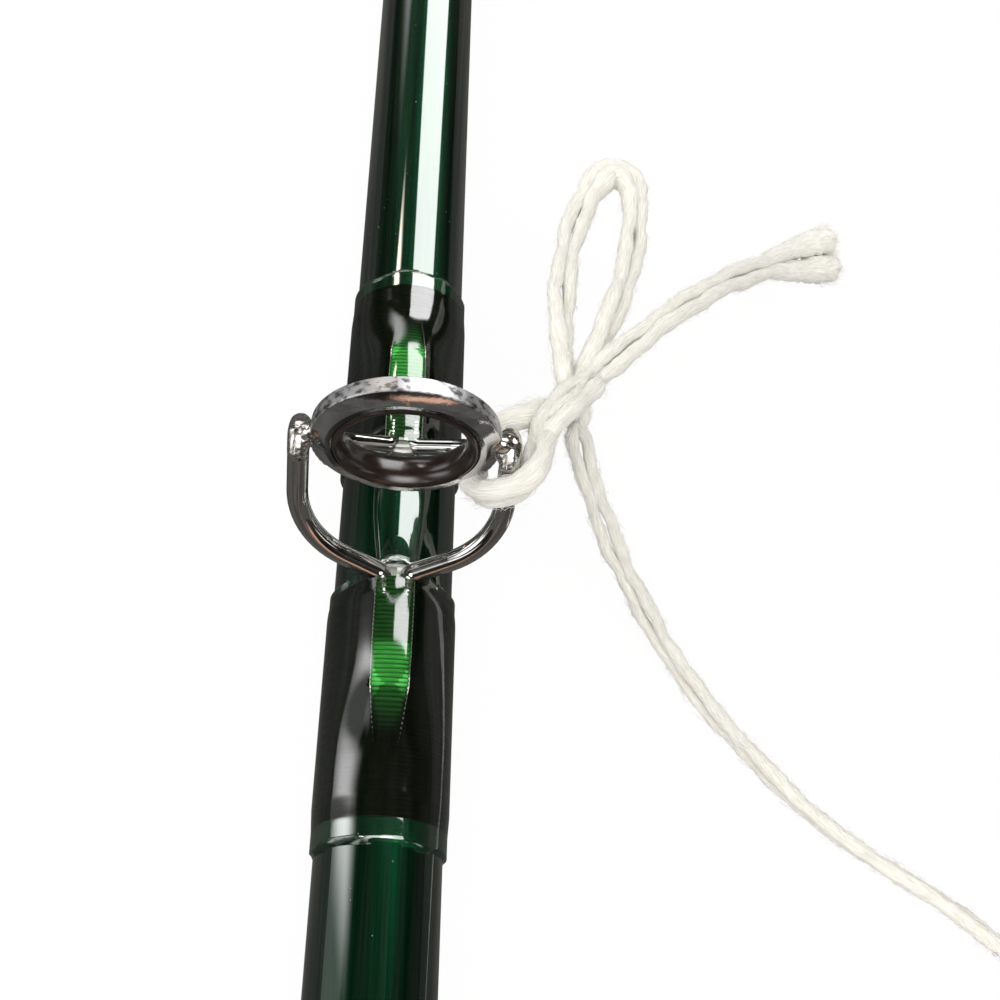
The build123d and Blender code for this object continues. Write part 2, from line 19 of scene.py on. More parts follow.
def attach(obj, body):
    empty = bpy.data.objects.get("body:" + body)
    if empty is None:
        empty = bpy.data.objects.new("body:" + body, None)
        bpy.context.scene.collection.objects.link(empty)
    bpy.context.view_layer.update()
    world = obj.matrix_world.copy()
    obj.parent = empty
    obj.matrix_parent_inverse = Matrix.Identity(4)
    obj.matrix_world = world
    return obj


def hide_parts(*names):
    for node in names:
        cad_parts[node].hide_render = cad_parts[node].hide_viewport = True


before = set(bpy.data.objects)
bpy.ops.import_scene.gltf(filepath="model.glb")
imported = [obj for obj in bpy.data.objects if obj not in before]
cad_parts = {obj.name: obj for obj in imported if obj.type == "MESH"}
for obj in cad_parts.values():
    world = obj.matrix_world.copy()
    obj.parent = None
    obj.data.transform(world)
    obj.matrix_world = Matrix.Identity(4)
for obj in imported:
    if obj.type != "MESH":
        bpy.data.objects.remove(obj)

log = logging.getLogger("fly_rod")
logging.basicConfig(level=logging.INFO, format="%(name)s: %(message)s")

MM = 0.001
TURN = 2 * math.pi
GUIDE_Y = 736.0  # station of the stripping guide
BUTT_WIDTH = 10.208  # diameter of the blank's taper at station 0
TAPER = 0.003  # diameter lost per unit of length
Point = tuple[float, float, float]
Thing = bpy.types.Object
Tree = bpy.types.NodeTree


class Body(Enum):
    """Rigid bodies that the pieces ride on."""

    BUTT = "rod_butt"
    TIP = "tip_section"


class Side(Enum):
    """Which foot of the stripping guide, as a sign along the rod."""

    FRONT = -1
    REAR = 1


class FarEnd(Enum):
    """What is on a string's far end."""

    BARE = "bare"
    OBJECT = "object"


# ---- Small helpers ------------------------------------------------------------------------
def linear(code: str) -> tuple[float, float, float, float]:
    """Turn an sRGB hex colour into linear RGBA.

    Args:
        code: Colour such as "#1a2b3c".

    Returns:
        Red, green, blue and alpha.
    """
    channels = [int(code[i : i + 2], 16) / 255 for i in (1, 3, 5)]
    lin = [c / 12.92 if c <= 0.04045 else ((c + 0.055) / 1.055) ** 2.4 for c in channels]
    return (lin[0], lin[1], lin[2], 1.0)


def feed(tree: Tree, socket: Any, value: Any) -> None:
    """Link a socket to an input, or give the input a plain value."""
    if isinstance(value, bpy.types.NodeSocket):
        tree.links.new(value, socket)
    else:
        socket.default_value = value


def add_node(tree: Tree, kind: str, inputs: dict[Any, Any] | None = None, **settings: Any) -> Any:
    """Add one shader node with its settings and links.

    Args:
        tree: Node tree that gets the node.
        kind: Node type.
        inputs: Value or source socket for each input, by name or number.
        settings: Plain properties of the node.

    Returns:
        The new node.
    """
    node = tree.nodes.new(kind)
    for name, value in settings.items():
        setattr(node, name, value)
    for key, value in (inputs or {}).items():
        feed(tree, node.inputs[key], value)
    return node


def maths(tree: Tree, operation: str, first: Any, second: Any, **settings: Any) -> Any:
    """Combine two numbers or sockets. Returns the socket."""
    inputs = {0: first, 1: second}
    return add_node(tree, "ShaderNodeMath", inputs, operation=operation, **settings).outputs[0]


def level(tree: Tree, factor: Any, low: Any, high: Any) -> Any:
    """Mix two numbers or sockets. Returns the socket."""
    return add_node(tree, "ShaderNodeMix", {0: factor, 2: low, 3: high}, data_type="FLOAT").outputs[0]


def blend(tree: Tree, factor: Any, low: Any, high: Any) -> Any:
    """Mix two colours, each a hex code or a socket. Returns the socket."""
    ends = [linear(end) if isinstance(end, str) else end for end in (low, high)]
    inputs = {0: factor, 6: ends[0], 7: ends[1]}
    return add_node(tree, "ShaderNodeMix", inputs, data_type="RGBA").outputs[2]


def spread(
    tree: Tree, value: Any, low: float, high: float, start: float = 0.0, end: float = 1.0, **settings: Any
) -> Any:
    """Map a socket from low..high to start..end, clamped. Returns the socket."""
    inputs = {"Value": value, "From Min": low, "From Max": high, "To Min": start, "To Max": end}
    return add_node(tree, "ShaderNodeMapRange", inputs, **settings).outputs["Result"]


def per_metre(millimetres: float) -> float:
    """Texture scale at which one repeat is that many millimetres."""
    return 1.0 / (millimetres * MM)


def smooth_step(low: float, high: float, value: float) -> float:
    """Ease from 0 at low to 1 at high."""
    t = min(1.0, max(0.0, (value - low) / (high - low)))
    return t * t * (3 - 2 * t)


def blank_radius(y: float) -> float:
    """Outer radius of the blank's taper at a station in millimetres."""
    return (BUTT_WIDTH - TAPER * y) / 2


def heading(line: Sequence[Vector], index: int, reach: int = 1) -> Vector:
    """Direction of a line at one of its points, taken between its neighbours."""
    return (line[min(len(line) - 1, index + reach)] - line[max(0, index - reach)]).normalized()


def squared(vector: Vector, axis: Vector) -> Vector:
    """Unit direction nearest to a vector that is square to an axis."""
    return (vector - axis * vector.dot(axis)).normalized()


def hoop(centre: Vector, radius: float, first: Vector, second: Vector, sides: int) -> list[Point]:
    """Points round a centre, in the plane of two unit directions."""
    angles = [TURN * k / sides for k in range(sides)]
    return [tuple(centre + radius * (math.cos(a) * first + math.sin(a) * second)) for a in angles]


def link(name: str, data: Any) -> Thing:
    """Put a new object with that data into the scene."""
    made = bpy.data.objects.new(name, data)
    bpy.context.collection.objects.link(made)
    return made


class Skin:
    """Vertices and faces collected in millimetres until they become one mesh."""

    FIBRE_TAPER = 0.6  # share of its radius that a fibre loses by its tip

    def __init__(self) -> None:
        """Start with nothing."""
        self.points: list[Sequence[float]] = []
        self.faces: list[tuple[int, ...]] = []
        self.uvs: list[tuple[float, float]] = []
        self.lit: list[float] = []

    def rings(self, rings: Sequence[Sequence[Any]], caps: bool = True, loop: bool = False) -> None:
        """Join rings of equal size into a tube.

        Args:
            rings: Closed rings of points in order.
            caps: Close the two ends with a fan.
            loop: Join the last ring to the first.
        """
        base, count, size = len(self.points), len(rings), len(rings[0])
        for ring in rings:
            self.points.extend(ring)
        for row in range(count if loop else count - 1):
            here, there = base + row * size, base + ((row + 1) % count) * size
            for k in range(size):
                after = (k + 1) % size
                self.faces.append((here + k, here + after, there + after, there + k))
        if caps and not loop:
            for row in (0, count - 1):
                middle = np.mean(np.array(rings[row], float), axis=0)
                self.points.append(tuple(middle))
                hub = len(self.points) - 1
                start = base + row * size
                for k in range(size):
                    self.faces.append((start + k, start + (k + 1) % size, hub))

    def hair(self, line: Sequence[Vector], radius: float) -> None:
        """Add a thin three-sided fibre that tapers along its line.

        Args:
            line: Points along the fibre.
            radius: Radius at its root.
        """
        rings = []
        for index, point in enumerate(line):
            along = heading(line, index)
            across = along.orthogonal().normalized()
            width = radius * (1.0 - self.FIBRE_TAPER * index / (len(line) - 1))
            rings.append(hoop(point, width, across, along.cross(across), 3))
        self.rings(rings)

    def unmapped(self) -> None:
        """Give every point that has no lengthwise coordinates a blank pair."""
        self.uvs.extend([(0.0, 0.0)] * (len(self.points) - len(self.uvs)))

    def build(self, name: str, sharp: float = 40.0) -> Thing:
        """Make the object, in metres, with outward normals and smooth faces.

        Args:
            name: Name of the object.
            sharp: Edges that turn by more degrees than this stay sharp.

        Returns:
            The linked object.
        """
        mesh = bpy.data.meshes.new(name)
        mesh.from_pydata([tuple(c * MM for c in p) for p in self.points], [], self.faces)
        if self.uvs:
            layer = mesh.uv_layers.new(name="along")
            for loop in mesh.loops:
                if loop.vertex_index < len(self.uvs):
                    layer.data[loop.index].uv = self.uvs[loop.vertex_index]
        if self.lit:
            lit = mesh.attributes.new("lit", "FLOAT", "POINT")
            lit.data.foreach_set("value", self.lit + [0.0] * (len(self.points) - len(self.lit)))
        shape = bmesh.new()
        shape.from_mesh(mesh)
        bmesh.ops.recalc_face_normals(shape, faces=shape.faces)
        shape.to_mesh(mesh)
        shape.free()
        mesh.shade_smooth()
        mesh.set_sharp_from_angle(angle=math.radians(sharp))
        return link(name, mesh)


def lathe(
    name: str,
    profile: Sequence[tuple[float, float]],
    segments: int,
    height: float = 0.0,
    satin_from: float = 1e6,
) -> Thing:
    """Turn a closed outline about a line along the rod.

    Args:
        name: Name of the object.
        profile: Closed outline of (radius, station) corners.
        segments: Number of steps round the turn.
        height: Height of the turning line above the rod's axis.
        satin_from: Radius from which the surface is marked as lit, for a satin finish.

    Returns:
        The turned piece.
    """
    skin = Skin()
    rings = []
    angles = [TURN * k / segments for k in range(segments)]
    for radius, y in profile:
        rings.append([(radius * math.sin(a), y, height + radius * math.cos(a)) for a in angles])
        skin.lit.extend([1.0 if radius >= satin_from else 0.0] * segments)
    skin.rings(rings, loop=True)
    return skin.build(name, 14.0)


def fit(piece: Thing, finish: "Finish", body: Body, *nodes: str) -> None:
    """Finish a new piece: material, body and the CAD nodes that it stands for.

    Args:
        piece: The new piece.
        finish: Its finish.
        body: The body it rides on.
        nodes: CAD nodes it replaces.
    """
    piece.data.materials.clear()
    piece.data.materials.append(finish.make())
    if nodes:
        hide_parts(*nodes)
    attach(piece, body.value)
    log.info("%s: %d faces, rides on %s", piece.name, len(piece.data.polygons), body.value)


def dress(finish: "Finish", *nodes: str) -> None:
    """Give kept CAD nodes their finished material.

    Args:
        finish: The finish.
        nodes: Names of the nodes.
    """
    material = finish.make()
    for name in nodes:
        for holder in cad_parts[name].material_slots:
            holder.material = material
        log.info("%s: dressed in %s", name, material.name)


# ---- Finishes -----------------------------------------------------------------------------
class Pattern:
    """A new material's tree and shader, and the patterns that finishes are made of."""

    def __init__(self, tree: Tree) -> None:
        """Start from the tree's own shader and the object's own coordinates."""
        self.tree = tree
        self.shader = tree.nodes["Principled BSDF"]
        self.place = add_node(tree, "ShaderNodeTexCoord").outputs["Object"]

    def drive(self, name: str, value: Any) -> None:
        """Give one of the shader's inputs a socket or a plain value."""
        feed(self.tree, self.shader.inputs[name], value)

    def tint(self, factor: Any, dark: str, light: str) -> Any:
        """Colour the base from dark at 0 to light at 1. Returns the colour socket."""
        colour = blend(self.tree, factor, dark, light)
        self.drive("Base Color", colour)
        return colour

    def bump(self, height: Any, depth: float, socket: str = "Normal") -> None:
        """Raise the surface by a height socket.

        Args:
            height: Socket with the height, 0 to 1.
            depth: Height of 1, in millimetres.
            socket: Which normal of the shader it drives.
        """
        inputs = {"Height": height, "Distance": depth * MM, "Strength": 1.0}
        self.drive(socket, add_node(self.tree, "ShaderNodeBump", inputs).outputs["Normal"])

    def scaled(self, size: Point) -> Any:
        """Coordinates in which one repeat is size millimetres along x, y and z."""
        scale = tuple(per_metre(s) for s in size)
        inputs = {"Vector": self.place, "Scale": scale}
        return add_node(self.tree, "ShaderNodeMapping", inputs).outputs["Vector"]

    def noise(self, size: Point, detail: float = 3.0) -> Any:
        """Noise whose grains are size millimetres along x, y and z. Returns its factor socket."""
        inputs = {"Vector": self.scaled(size), "Scale": 1.0, "Detail": detail}
        return add_node(self.tree, "ShaderNodeTexNoise", inputs).outputs["Fac"]

    def waves(self, size: float, values: dict[str, float], **settings: Any) -> Any:
        """Bands in coordinates that repeat every size millimetres. Returns the factor socket."""
        inputs = {"Vector": self.scaled((size,) * 3), **values}
        return add_node(self.tree, "ShaderNodeTexWave", inputs, **settings).outputs["Fac"]

    def ramp(self, value: Any, low: float, high: float, start: float = 0.0, end: float = 1.0) -> Any:
        """Map value from low..high to start..end, clamped. Returns the socket."""
        return spread(self.tree, value, low, high, start, end)

    def attribute(self, name: str) -> Any:
        """Value that the mesh carries at each point. Returns the socket."""
        return add_node(self.tree, "ShaderNodeAttribute", attribute_name=name).outputs["Fac"]


@dataclass(frozen=True)
class Finish:
    """A finish with its plain values. Subclasses add the pattern."""

    name: str
    colour: str
    roughness: float
    metallic: float = 0.0
    ior: float = 1.5
    coat: float = 0.0
    coat_roughness: float = 0.03
    coat_ior: float = 1.5
    slot: str = ""

    def make(self) -> bpy.types.Material:
        """Build the material, or return it if it was built before."""
        known = bpy.data.materials.get(self.name)
        if known:
            return known
        material = bpy.data.materials.new(self.name)
        material.use_nodes = True
        look = Pattern(material.node_tree)
        look.drive("Base Color", linear(self.colour))
        look.drive("Roughness", self.roughness)
        look.drive("Metallic", self.metallic)
        look.drive("Coat Weight", self.coat)
        look.drive("Coat Roughness", self.coat_roughness)
        look.drive("Coat IOR", self.coat_ior)
        if not self.metallic:
            look.drive("IOR", self.ior)
        self.detail(look)
        return material

    def detail(self, look: Pattern) -> None:
        """Add the pattern. The plain finish has none."""


class VarnishedBlank(Finish):
    """Rolled graphite under tinted clear varnish: a soft green glow below a sharp gloss."""

    def detail(self, look: Pattern) -> None:
        """Graphite strands along the rod, and a little dust in the varnish."""
        glow = look.ramp(look.noise((0.12, 9.0, 0.12), 2.0), 0.3, 0.7)
        colour = look.tint(glow, "#021c10", self.colour)
        cells = {"Vector": look.place, "Scale": per_metre(0.8), "Randomness": 1.0}
        dust = add_node(look.tree, "ShaderNodeTexVoronoi", cells).outputs["Distance"]
        speck = look.ramp(dust, 0.03, 0.075, 1.0, 0.0)
        patchy = look.ramp(look.noise((1.6, 1.6, 1.6), 0.0), 0.55, 0.66)
        both = maths(look.tree, "MULTIPLY", speck, patchy)
        look.drive("Base Color", blend(look.tree, both, colour, "#a9b5ac"))
        look.drive("Metallic", maths(look.tree, "SUBTRACT", 1.0, both))
        look.bump(look.noise((2.2, 6.0, 2.2), 1.0), 0.004, "Coat Normal")


class WoundThread(Finish):
    """Nylon thread soaked by clear coat: nearly black over the blank, with painted light where it lies over
    a metal foot.
    """

    def detail(self, look: Pattern) -> None:
        """Filaments across the rod, with painted light where the mesh's lit value stands for the foot
        shining up through the thread.
        """
        lit = look.attribute("lit")
        filaments = look.noise((1.1, 0.045, 1.1), 2.0)
        broken = look.ramp(filaments, 0.25, 0.75, 0.45, 1.25)
        # Painted light: the lit value tints the thread from its dark colour up to bright green over the
        # foot.
        look.tint(maths(look.tree, "MULTIPLY", lit, broken, use_clamp=True), self.colour, "#62d866")
        look.bump(filaments, 0.02)


class VarnishedWrap(Finish):
    """Thread under varnish on the small guides, wound 0.3 mm apart and drawn as a ring pattern."""

    ONE_RING = 0.3183  # wave scale at which one ring takes one repeat

    def detail(self, look: Pattern) -> None:
        """Rings of thread along the rod."""
        rings = look.waves(0.3, {"Scale": self.ONE_RING}, bands_direction="Y")
        look.tint(rings, "#061004", self.colour)
        look.bump(rings, 0.03)


class ClearCoat(Finish):
    """Two-part clear coat, brushed on and levelled while turning: glass-clear with soft waves."""

    def detail(self, look: Pattern) -> None:
        """Let light lamps reach the thread, and ripple the surface."""
        look.drive("Transmission Weight", 1.0)
        look.bump(look.noise((3.0, 2.2, 3.0), 1.0), 0.012)
        clear = add_node(look.tree, "ShaderNodeBsdfTransparent", {"Color": linear("#f4fff2")})
        rays = add_node(look.tree, "ShaderNodeLightPath")
        parts = {0: rays.outputs["Is Shadow Ray"], 1: look.shader.outputs[0], 2: clear.outputs[0]}
        mix = add_node(look.tree, "ShaderNodeMixShader", parts)
        feed(look.tree, look.tree.nodes["Material Output"].inputs["Surface"], mix.outputs[0])


class PolishedMetal(Finish):
    """Plated and polished metal: a clean mirror with faint wear marks."""

    def detail(self, look: Pattern) -> None:
        """Fine rubbing marks and a slightly uneven shine."""
        marks = look.noise((0.5, 0.09, 0.5), 4.0)
        uneven = look.ramp(marks, 0.3, 0.75, self.roughness * 0.5, self.roughness * 1.9)
        look.drive("Roughness", uneven)
        look.bump(look.noise((0.8, 0.8, 0.8), 2.0), 0.006)


class TumbledMetal(Finish):
    """Pressed ring, tumbled and plated: mirror-bright slopes, with a satin rim that holds dark pits."""

    def detail(self, look: Pattern) -> None:
        """Satin where the surface is marked, with pits."""
        satin = look.attribute("lit")
        cloud = look.noise((0.5, 0.3, 0.5), 4.0)
        rim = look.ramp(cloud, 0.3, 0.7, 0.3, 0.52)
        look.drive("Roughness", level(look.tree, satin, self.roughness, rim))
        tone = look.ramp(cloud, 0.36, 0.5)
        polished = maths(look.tree, "SUBTRACT", 1.0, satin)
        look.tint(maths(look.tree, "MAXIMUM", tone, polished), "#77787a", self.colour)
        look.bump(look.noise((0.35, 0.35, 0.35)), 0.008)


class GroundMetal(Finish):
    """Metal ground on a wheel: parallel scratches that break the reflection."""

    def detail(self, look: Pattern) -> None:
        """Scratches across the foot."""
        scratches = look.noise((0.9, 0.04, 0.9))
        look.drive("Roughness", look.ramp(scratches, 0.3, 0.7, 0.22, 0.5))
        look.bump(scratches, 0.012)


class GlazedCeramic(Finish):
    """Fired and lapped dark ceramic: glossy, with a faint cloudy body."""

    def detail(self, look: Pattern) -> None:
        """Cloudy body and lapping marks round the bore."""
        cloud = look.noise((0.7, 0.7, 0.7), 4.0)
        look.tint(look.ramp(cloud, 0.35, 0.65), "#1d1511", self.colour)
        look.bump(look.noise((0.35, 0.35, 0.35), 2.0), 0.004)


class TwistedCotton(Finish):
    """Bleached two-ply cotton, spun and plied: matt, with fine fibres that follow the ply."""

    LAY = -24  # degrees between fibres and ply
    FIBRE = (0.085, 1.3)  # width and length of a fibre's mark, in millimetres

    def detail(self, look: Pattern) -> None:
        """Fibres laid along each ply, read from the strand's own lengthwise coordinates."""
        along = add_node(look.tree, "ShaderNodeUVMap", uv_map="along").outputs["UV"]
        scale = (1 / self.FIBRE[0], 1 / self.FIBRE[1], 1.0)
        turned = {"Vector": along, "Rotation": (0, 0, math.radians(self.LAY)), "Scale": scale}
        mapping = add_node(look.tree, "ShaderNodeMapping", turned)
        inputs = {"Vector": mapping.outputs["Vector"], "Scale": 1.0, "Detail": 4.0, "Roughness": 0.6}
        fibres = add_node(look.tree, "ShaderNodeTexNoise", inputs).outputs["Fac"]
        look.tint(look.ramp(fibres, 0.32, 0.6), "#dcd8ca", self.colour)
        look.bump(fibres, 0.15)
        look.drive("Sheen Weight", 0.35)
        look.drive("Sheen Roughness", 0.5)
        look.drive("Subsurface Weight", 0.25)
        look.drive("Subsurface Radius", (1.0, 0.9, 0.75))
        look.drive("Subsurface Scale", 0.5 * MM)


class GroundCork(Finish):
    """Natural cork, turned and sanded: pale grain with dark pits, and a line at each glued ring."""

    GRIP_START = 0.114  # metres from the rod's butt to the first ring
    HALF_RING = 6.35  # half of a ring's length, in millimetres

    def detail(self, look: Pattern) -> None:
        """Cells, pits and the glue lines between the rings."""
        cells = look.noise((1.3, 0.8, 1.3), 5.0)
        tone = look.tint(look.ramp(cells, 0.35, 0.66), "#b98a58", self.colour)
        pits = look.ramp(look.noise((2.6, 1.1, 2.6)), 0.63, 0.7)
        pitted = blend(look.tree, pits, tone, "#4c2f1a")
        along = add_node(look.tree, "ShaderNodeSeparateXYZ", {"Vector": look.place}).outputs["Y"]
        shifted = maths(look.tree, "SUBTRACT", along, self.GRIP_START)
        near = maths(look.tree, "PINGPONG", shifted, self.HALF_RING * MM)
        line = look.ramp(near, 0.05 * MM, 0.16 * MM, 0.55, 0.0)
        look.drive("Base Color", blend(look.tree, line, pitted, "#7d5a38"))
        look.bump(maths(look.tree, "SUBTRACT", 1.0, pits), 0.25)


class OiledBurl(Finish):
    """Burl wood, turned and oiled: swirling figure with dark eyes under a thin gloss."""

    def detail(self, look: Pattern) -> None:
        """Swirled figure."""
        swirl = look.noise((9.0, 14.0, 9.0), 6.0)
        rings = look.waves(6.0, {"Scale": 0.8, "Distortion": 9.0, "Detail": 4.0})
        figure = maths(look.tree, "MULTIPLY", swirl, rings)
        look.tint(look.ramp(figure, 0.1, 0.55), "#3a1c0e", self.colour)
        look.bump(rings, 0.02)


class TurnedAluminium(Finish):
    """Aluminium turned on a lathe and anodised: satin, with fine tool lines round it."""

    def detail(self, look: Pattern) -> None:
        """Tool lines across the rod."""
        lines = look.noise((14.0, 0.05, 14.0), 2.0)
        look.drive("Roughness", look.ramp(lines, 0.3, 0.7, 0.24, 0.4))
        look.bump(lines, 0.006)


class Grained(Finish):
    """A plain matt body with a fine grain, such as moulded or ground stock."""

    def detail(self, look: Pattern) -> None:
        """Fine grain in colour and height."""
        grain = look.noise((0.25, 1.2, 0.25))
        look.tint(look.ramp(grain, 0.3, 0.7), "#0c0d0d", self.colour)
        look.bump(grain, 0.01)


BLANK_VARNISH = VarnishedBlank(
    "graphite_green_varnished", "#053a20", 0.34, 1.0, coat=1.0, coat_ior=2.1, slot="blank"
)
THREAD_NYLON = WoundThread("nylon_thread_wound", "#091405", 0.55, ior=1.06, slot="thread")
WRAP_NYLON = VarnishedWrap("nylon_thread_varnished", "#16300d", 0.45, coat=1.0, coat_roughness=0.04)
EPOXY_COAT = ClearCoat("epoxy_clear_levelled", "#f7fff4", 0.07, ior=1.95, slot="epoxy")
CHROME = PolishedMetal("chrome_plated_polished", "#c9c8c5", 0.07, 1.0, slot="chrome")
RING_METAL = TumbledMetal("chrome_plated_tumbled", "#d4d3d5", 0.08, 1.0, slot="chrome")
CHROME_GROUND = GroundMetal("steel_ground", "#b4b3ae", 0.35, 1.0, slot="chrome")
BRAZE = PolishedMetal("silver_braze_plated", "#cfcbc5", 0.2, 1.0, slot="braze")
CERAMIC = GlazedCeramic("alumina_dark_lapped", "#261d18", 0.2, ior=1.6, slot="liner")
COTTON = TwistedCotton("cotton_two_ply_bleached", "#f8f6ee", 0.9, slot="cotton")
CORK = GroundCork("cork_turned_sanded", "#dcb684", 0.75)
WOOD = OiledBurl("burl_wood_oiled", "#8d5527", 0.4, coat=0.6, coat_roughness=0.12)
ANODISED = TurnedAluminium("aluminium_anodised_turned", "#3c4043", 0.32, 1.0)
BUSHING = Grained("phenolic_bushing_moulded", "#2b2a27", 0.7)
SPIGOT = Grained("graphite_ground", "#2a2c2d", 0.45)


# ---- Stage --------------------------------------------------------------------------------
@dataclass
class CloseCamera:
    """Camera close above the stripping guide, looking down and towards the tip."""

    place: Point = (-1.492, 690.913, 87.381)
    right: Point = (0.99403628, 0.01530031, 0.10797119)
    up: Point = (-0.06584493, 0.87345868, 0.48242552)
    ahead: Point = (0.08692711, 0.48665783, -0.86925706)
    lens: float = 50.4
    sensor: float = 36.0
    nearest: float = 1.0 * MM
    farthest: float = 60.0

    def build(self) -> None:
        """Make the camera and use it."""
        data = bpy.data.cameras.new("close_camera")
        data.lens = self.lens
        data.sensor_width = self.sensor
        data.clip_start = self.nearest
        data.clip_end = self.farthest
        made = link("close_camera", data)
        columns = (self.right, self.up, tuple(-c for c in self.ahead))
        turn = Matrix(columns).transposed().to_4x4()
        made.matrix_world = Matrix.Translation(Vector(self.place) * MM) @ turn
        bpy.context.scene.camera = made
        log.info("camera at %s", self.place)


@dataclass
class Lamp:
    """Soft rectangular lamp seen from the guide, given by its direction and angular size."""

    name: str
    azimuth: float
    elevation: float
    width: float
    height: float
    radiance: float
    colour: str = "#ffffff"
    soft_edge: float = 0.38
    roll: float = 0.0
    mirrored_only: bool = False
    distance: float = 2.5

    def fade(self, tree: Tree) -> None:
        """Make the diffuser darker towards its edges, as a softbox is.

        Args:
            tree: The lamp's node tree.
        """
        place = add_node(tree, "ShaderNodeNewGeometry").outputs["Parametric"]
        split = add_node(tree, "ShaderNodeSeparateXYZ", {"Vector": place}).outputs
        shares = []
        for across in (split["X"], split["Y"]):
            inward = maths(tree, "PINGPONG", across, 0.5)
            shares.append(spread(tree, inward, 0.0, self.soft_edge, interpolation_type="SMOOTHSTEP"))
        feed(tree, tree.nodes["Emission"].inputs["Strength"], maths(tree, "MULTIPLY", *shares))

    def build(self, target: Vector) -> None:
        """Hang the lamp so that it faces the target.

        Args:
            target: Point in metres that it faces.
        """
        az, el = math.radians(self.azimuth), math.radians(self.elevation)
        toward = Vector((math.cos(el) * math.sin(az), math.cos(el) * math.cos(az), math.sin(el)))
        data = bpy.data.lights.new(self.name, "AREA")
        data.shape = "RECTANGLE"
        data.size = 2 * self.distance * math.tan(math.radians(self.width / 2))
        data.size_y = 2 * self.distance * math.tan(math.radians(self.height / 2))
        data.energy = self.radiance * math.pi * data.size * data.size_y
        data.color = linear(self.colour)[:3]
        data.use_nodes = True
        self.fade(data.node_tree)
        made = link(self.name, data)
        made.location = target + toward * self.distance
        facing = toward.to_track_quat("Z", "Y").to_matrix()
        rolled = facing @ Matrix.Rotation(math.radians(self.roll), 3, "Z")
        made.rotation_euler = rolled.to_euler()
        made.visible_camera = False
        made.visible_diffuse = not self.mirrored_only


@dataclass(frozen=True)
class Surround:
    """What a floor or a world shows to each kind of ray: white to the camera, dimmer in reflections."""

    glossy: float
    diffuse: float
    clutter: float
    coordinates: str = "Generated"
    glow_share: float | None = None

    DARK_PATCH = 0.2
    LIGHT_PATCH = 3.0

    def paint(self, tree: Tree, old: str, output: str) -> None:
        """Build the shader in place of the one that the tree came with.

        Args:
            tree: Node tree of the floor or the world.
            old: Shader node to take out.
            output: Output node.
        """
        tree.nodes.remove(tree.nodes[old])
        rays = add_node(tree, "ShaderNodeLightPath").outputs
        place = add_node(tree, "ShaderNodeTexCoord").outputs[self.coordinates]
        inputs = {"Vector": place, "Scale": self.clutter, "Detail": 3.0}
        room = add_node(tree, "ShaderNodeTexNoise", inputs).outputs["Fac"]
        dim = spread(tree, room, 0.38, 0.66, self.DARK_PATCH * self.glossy, self.LIGHT_PATCH * self.glossy)
        mirrored = maths(tree, "MAXIMUM", rays["Is Glossy Ray"], rays["Is Transmission Ray"])
        indirect = level(tree, mirrored, self.diffuse, dim)
        strength = level(tree, rays["Is Camera Ray"], indirect, 1.0)
        warm = blend(tree, room, "#ffddcf", "#f4fff6")
        shade = {"Color": blend(tree, mirrored, "#ffffff", warm), "Strength": strength}
        kind = "ShaderNodeBackground" if self.glow_share is None else "ShaderNodeEmission"
        glow = add_node(tree, kind, shade).outputs[0]
        if self.glow_share is not None:
            matt = add_node(tree, "ShaderNodeBsdfDiffuse", {"Color": linear("#f4f4f2")}).outputs[0]
            parts = {0: self.glow_share, 1: matt, 2: glow}
            glow = add_node(tree, "ShaderNodeMixShader", parts).outputs[0]
        feed(tree, tree.nodes[output].inputs["Surface"], glow)


@dataclass
class Studio:
    """Pale floor that follows the rod's resting line, soft lamps and a white surround."""

    rest_height: float = -13.0
    rest_station: float = 256.0
    rise: float = 0.0046039
    reach: float = 9000.0
    guide: Point = (0.0, GUIDE_Y, 8.0)
    floor: Surround = Surround(0.034, 0.62, 26.0, "Object", 0.94)
    room: Surround = Surround(0.02, 0.58, 3.2)

    LAMPS = (
        Lamp("window", 27, 45, 37, 40, 6.3, soft_edge=0.05, roll=26, mirrored_only=True),
        Lamp("low_window", -20, 21, 38, 20, 2.4),
        Lamp("warm_lamp", -37, 42, 16, 8, 14.0, "#fff3e2"),
        Lamp("side_panel", -72, 22, 13, 56, 3.4, soft_edge=0.45),
        Lamp("side_fill", -95, 12, 66, 60, 0.4, soft_edge=0.15),
        Lamp("rear_panel", -103, 26, 30, 54, 2.6),
        Lamp("top_card", 180, 62, 58, 44, 6.4),
        Lamp("brown_card", 168, 5, 56, 13, 1.5, "#d3a78e"),
        Lamp("far_card", -140, 30, 12, 40, 2.0),
        Lamp("near_card", 112, 24, 8, 36, 2.2),
    )

    def floor_height(self, y: float) -> float:
        """Height of the floor under a station, in millimetres."""
        return self.rest_height + (y - self.rest_station) * self.rise

    def build(self) -> None:
        """Lay the floor, hang the lamps and set the world."""
        skin = Skin()
        far = self.reach
        corners = [(-far, -far), (far, -far), (far, far), (-far, far)]
        skin.points = [(x, y, self.floor_height(y)) for x, y in corners]
        skin.faces = [(0, 1, 2, 3)]
        floor = skin.build("studio_floor")
        material = bpy.data.materials.new("pale_floor")
        material.use_nodes = True
        self.floor.paint(material.node_tree, "Principled BSDF", "Material Output")
        floor.data.materials.append(material)
        world = bpy.data.worlds.new("white_surround")
        bpy.context.scene.world = world
        world.use_nodes = True
        self.room.paint(world.node_tree, "Background", "World Output")
        for lamp in self.LAMPS:
            lamp.build(Vector(self.guide) * MM)
        bpy.context.scene.view_settings.view_transform = "Standard"
        log.info("studio: %d lamps", len(self.LAMPS))


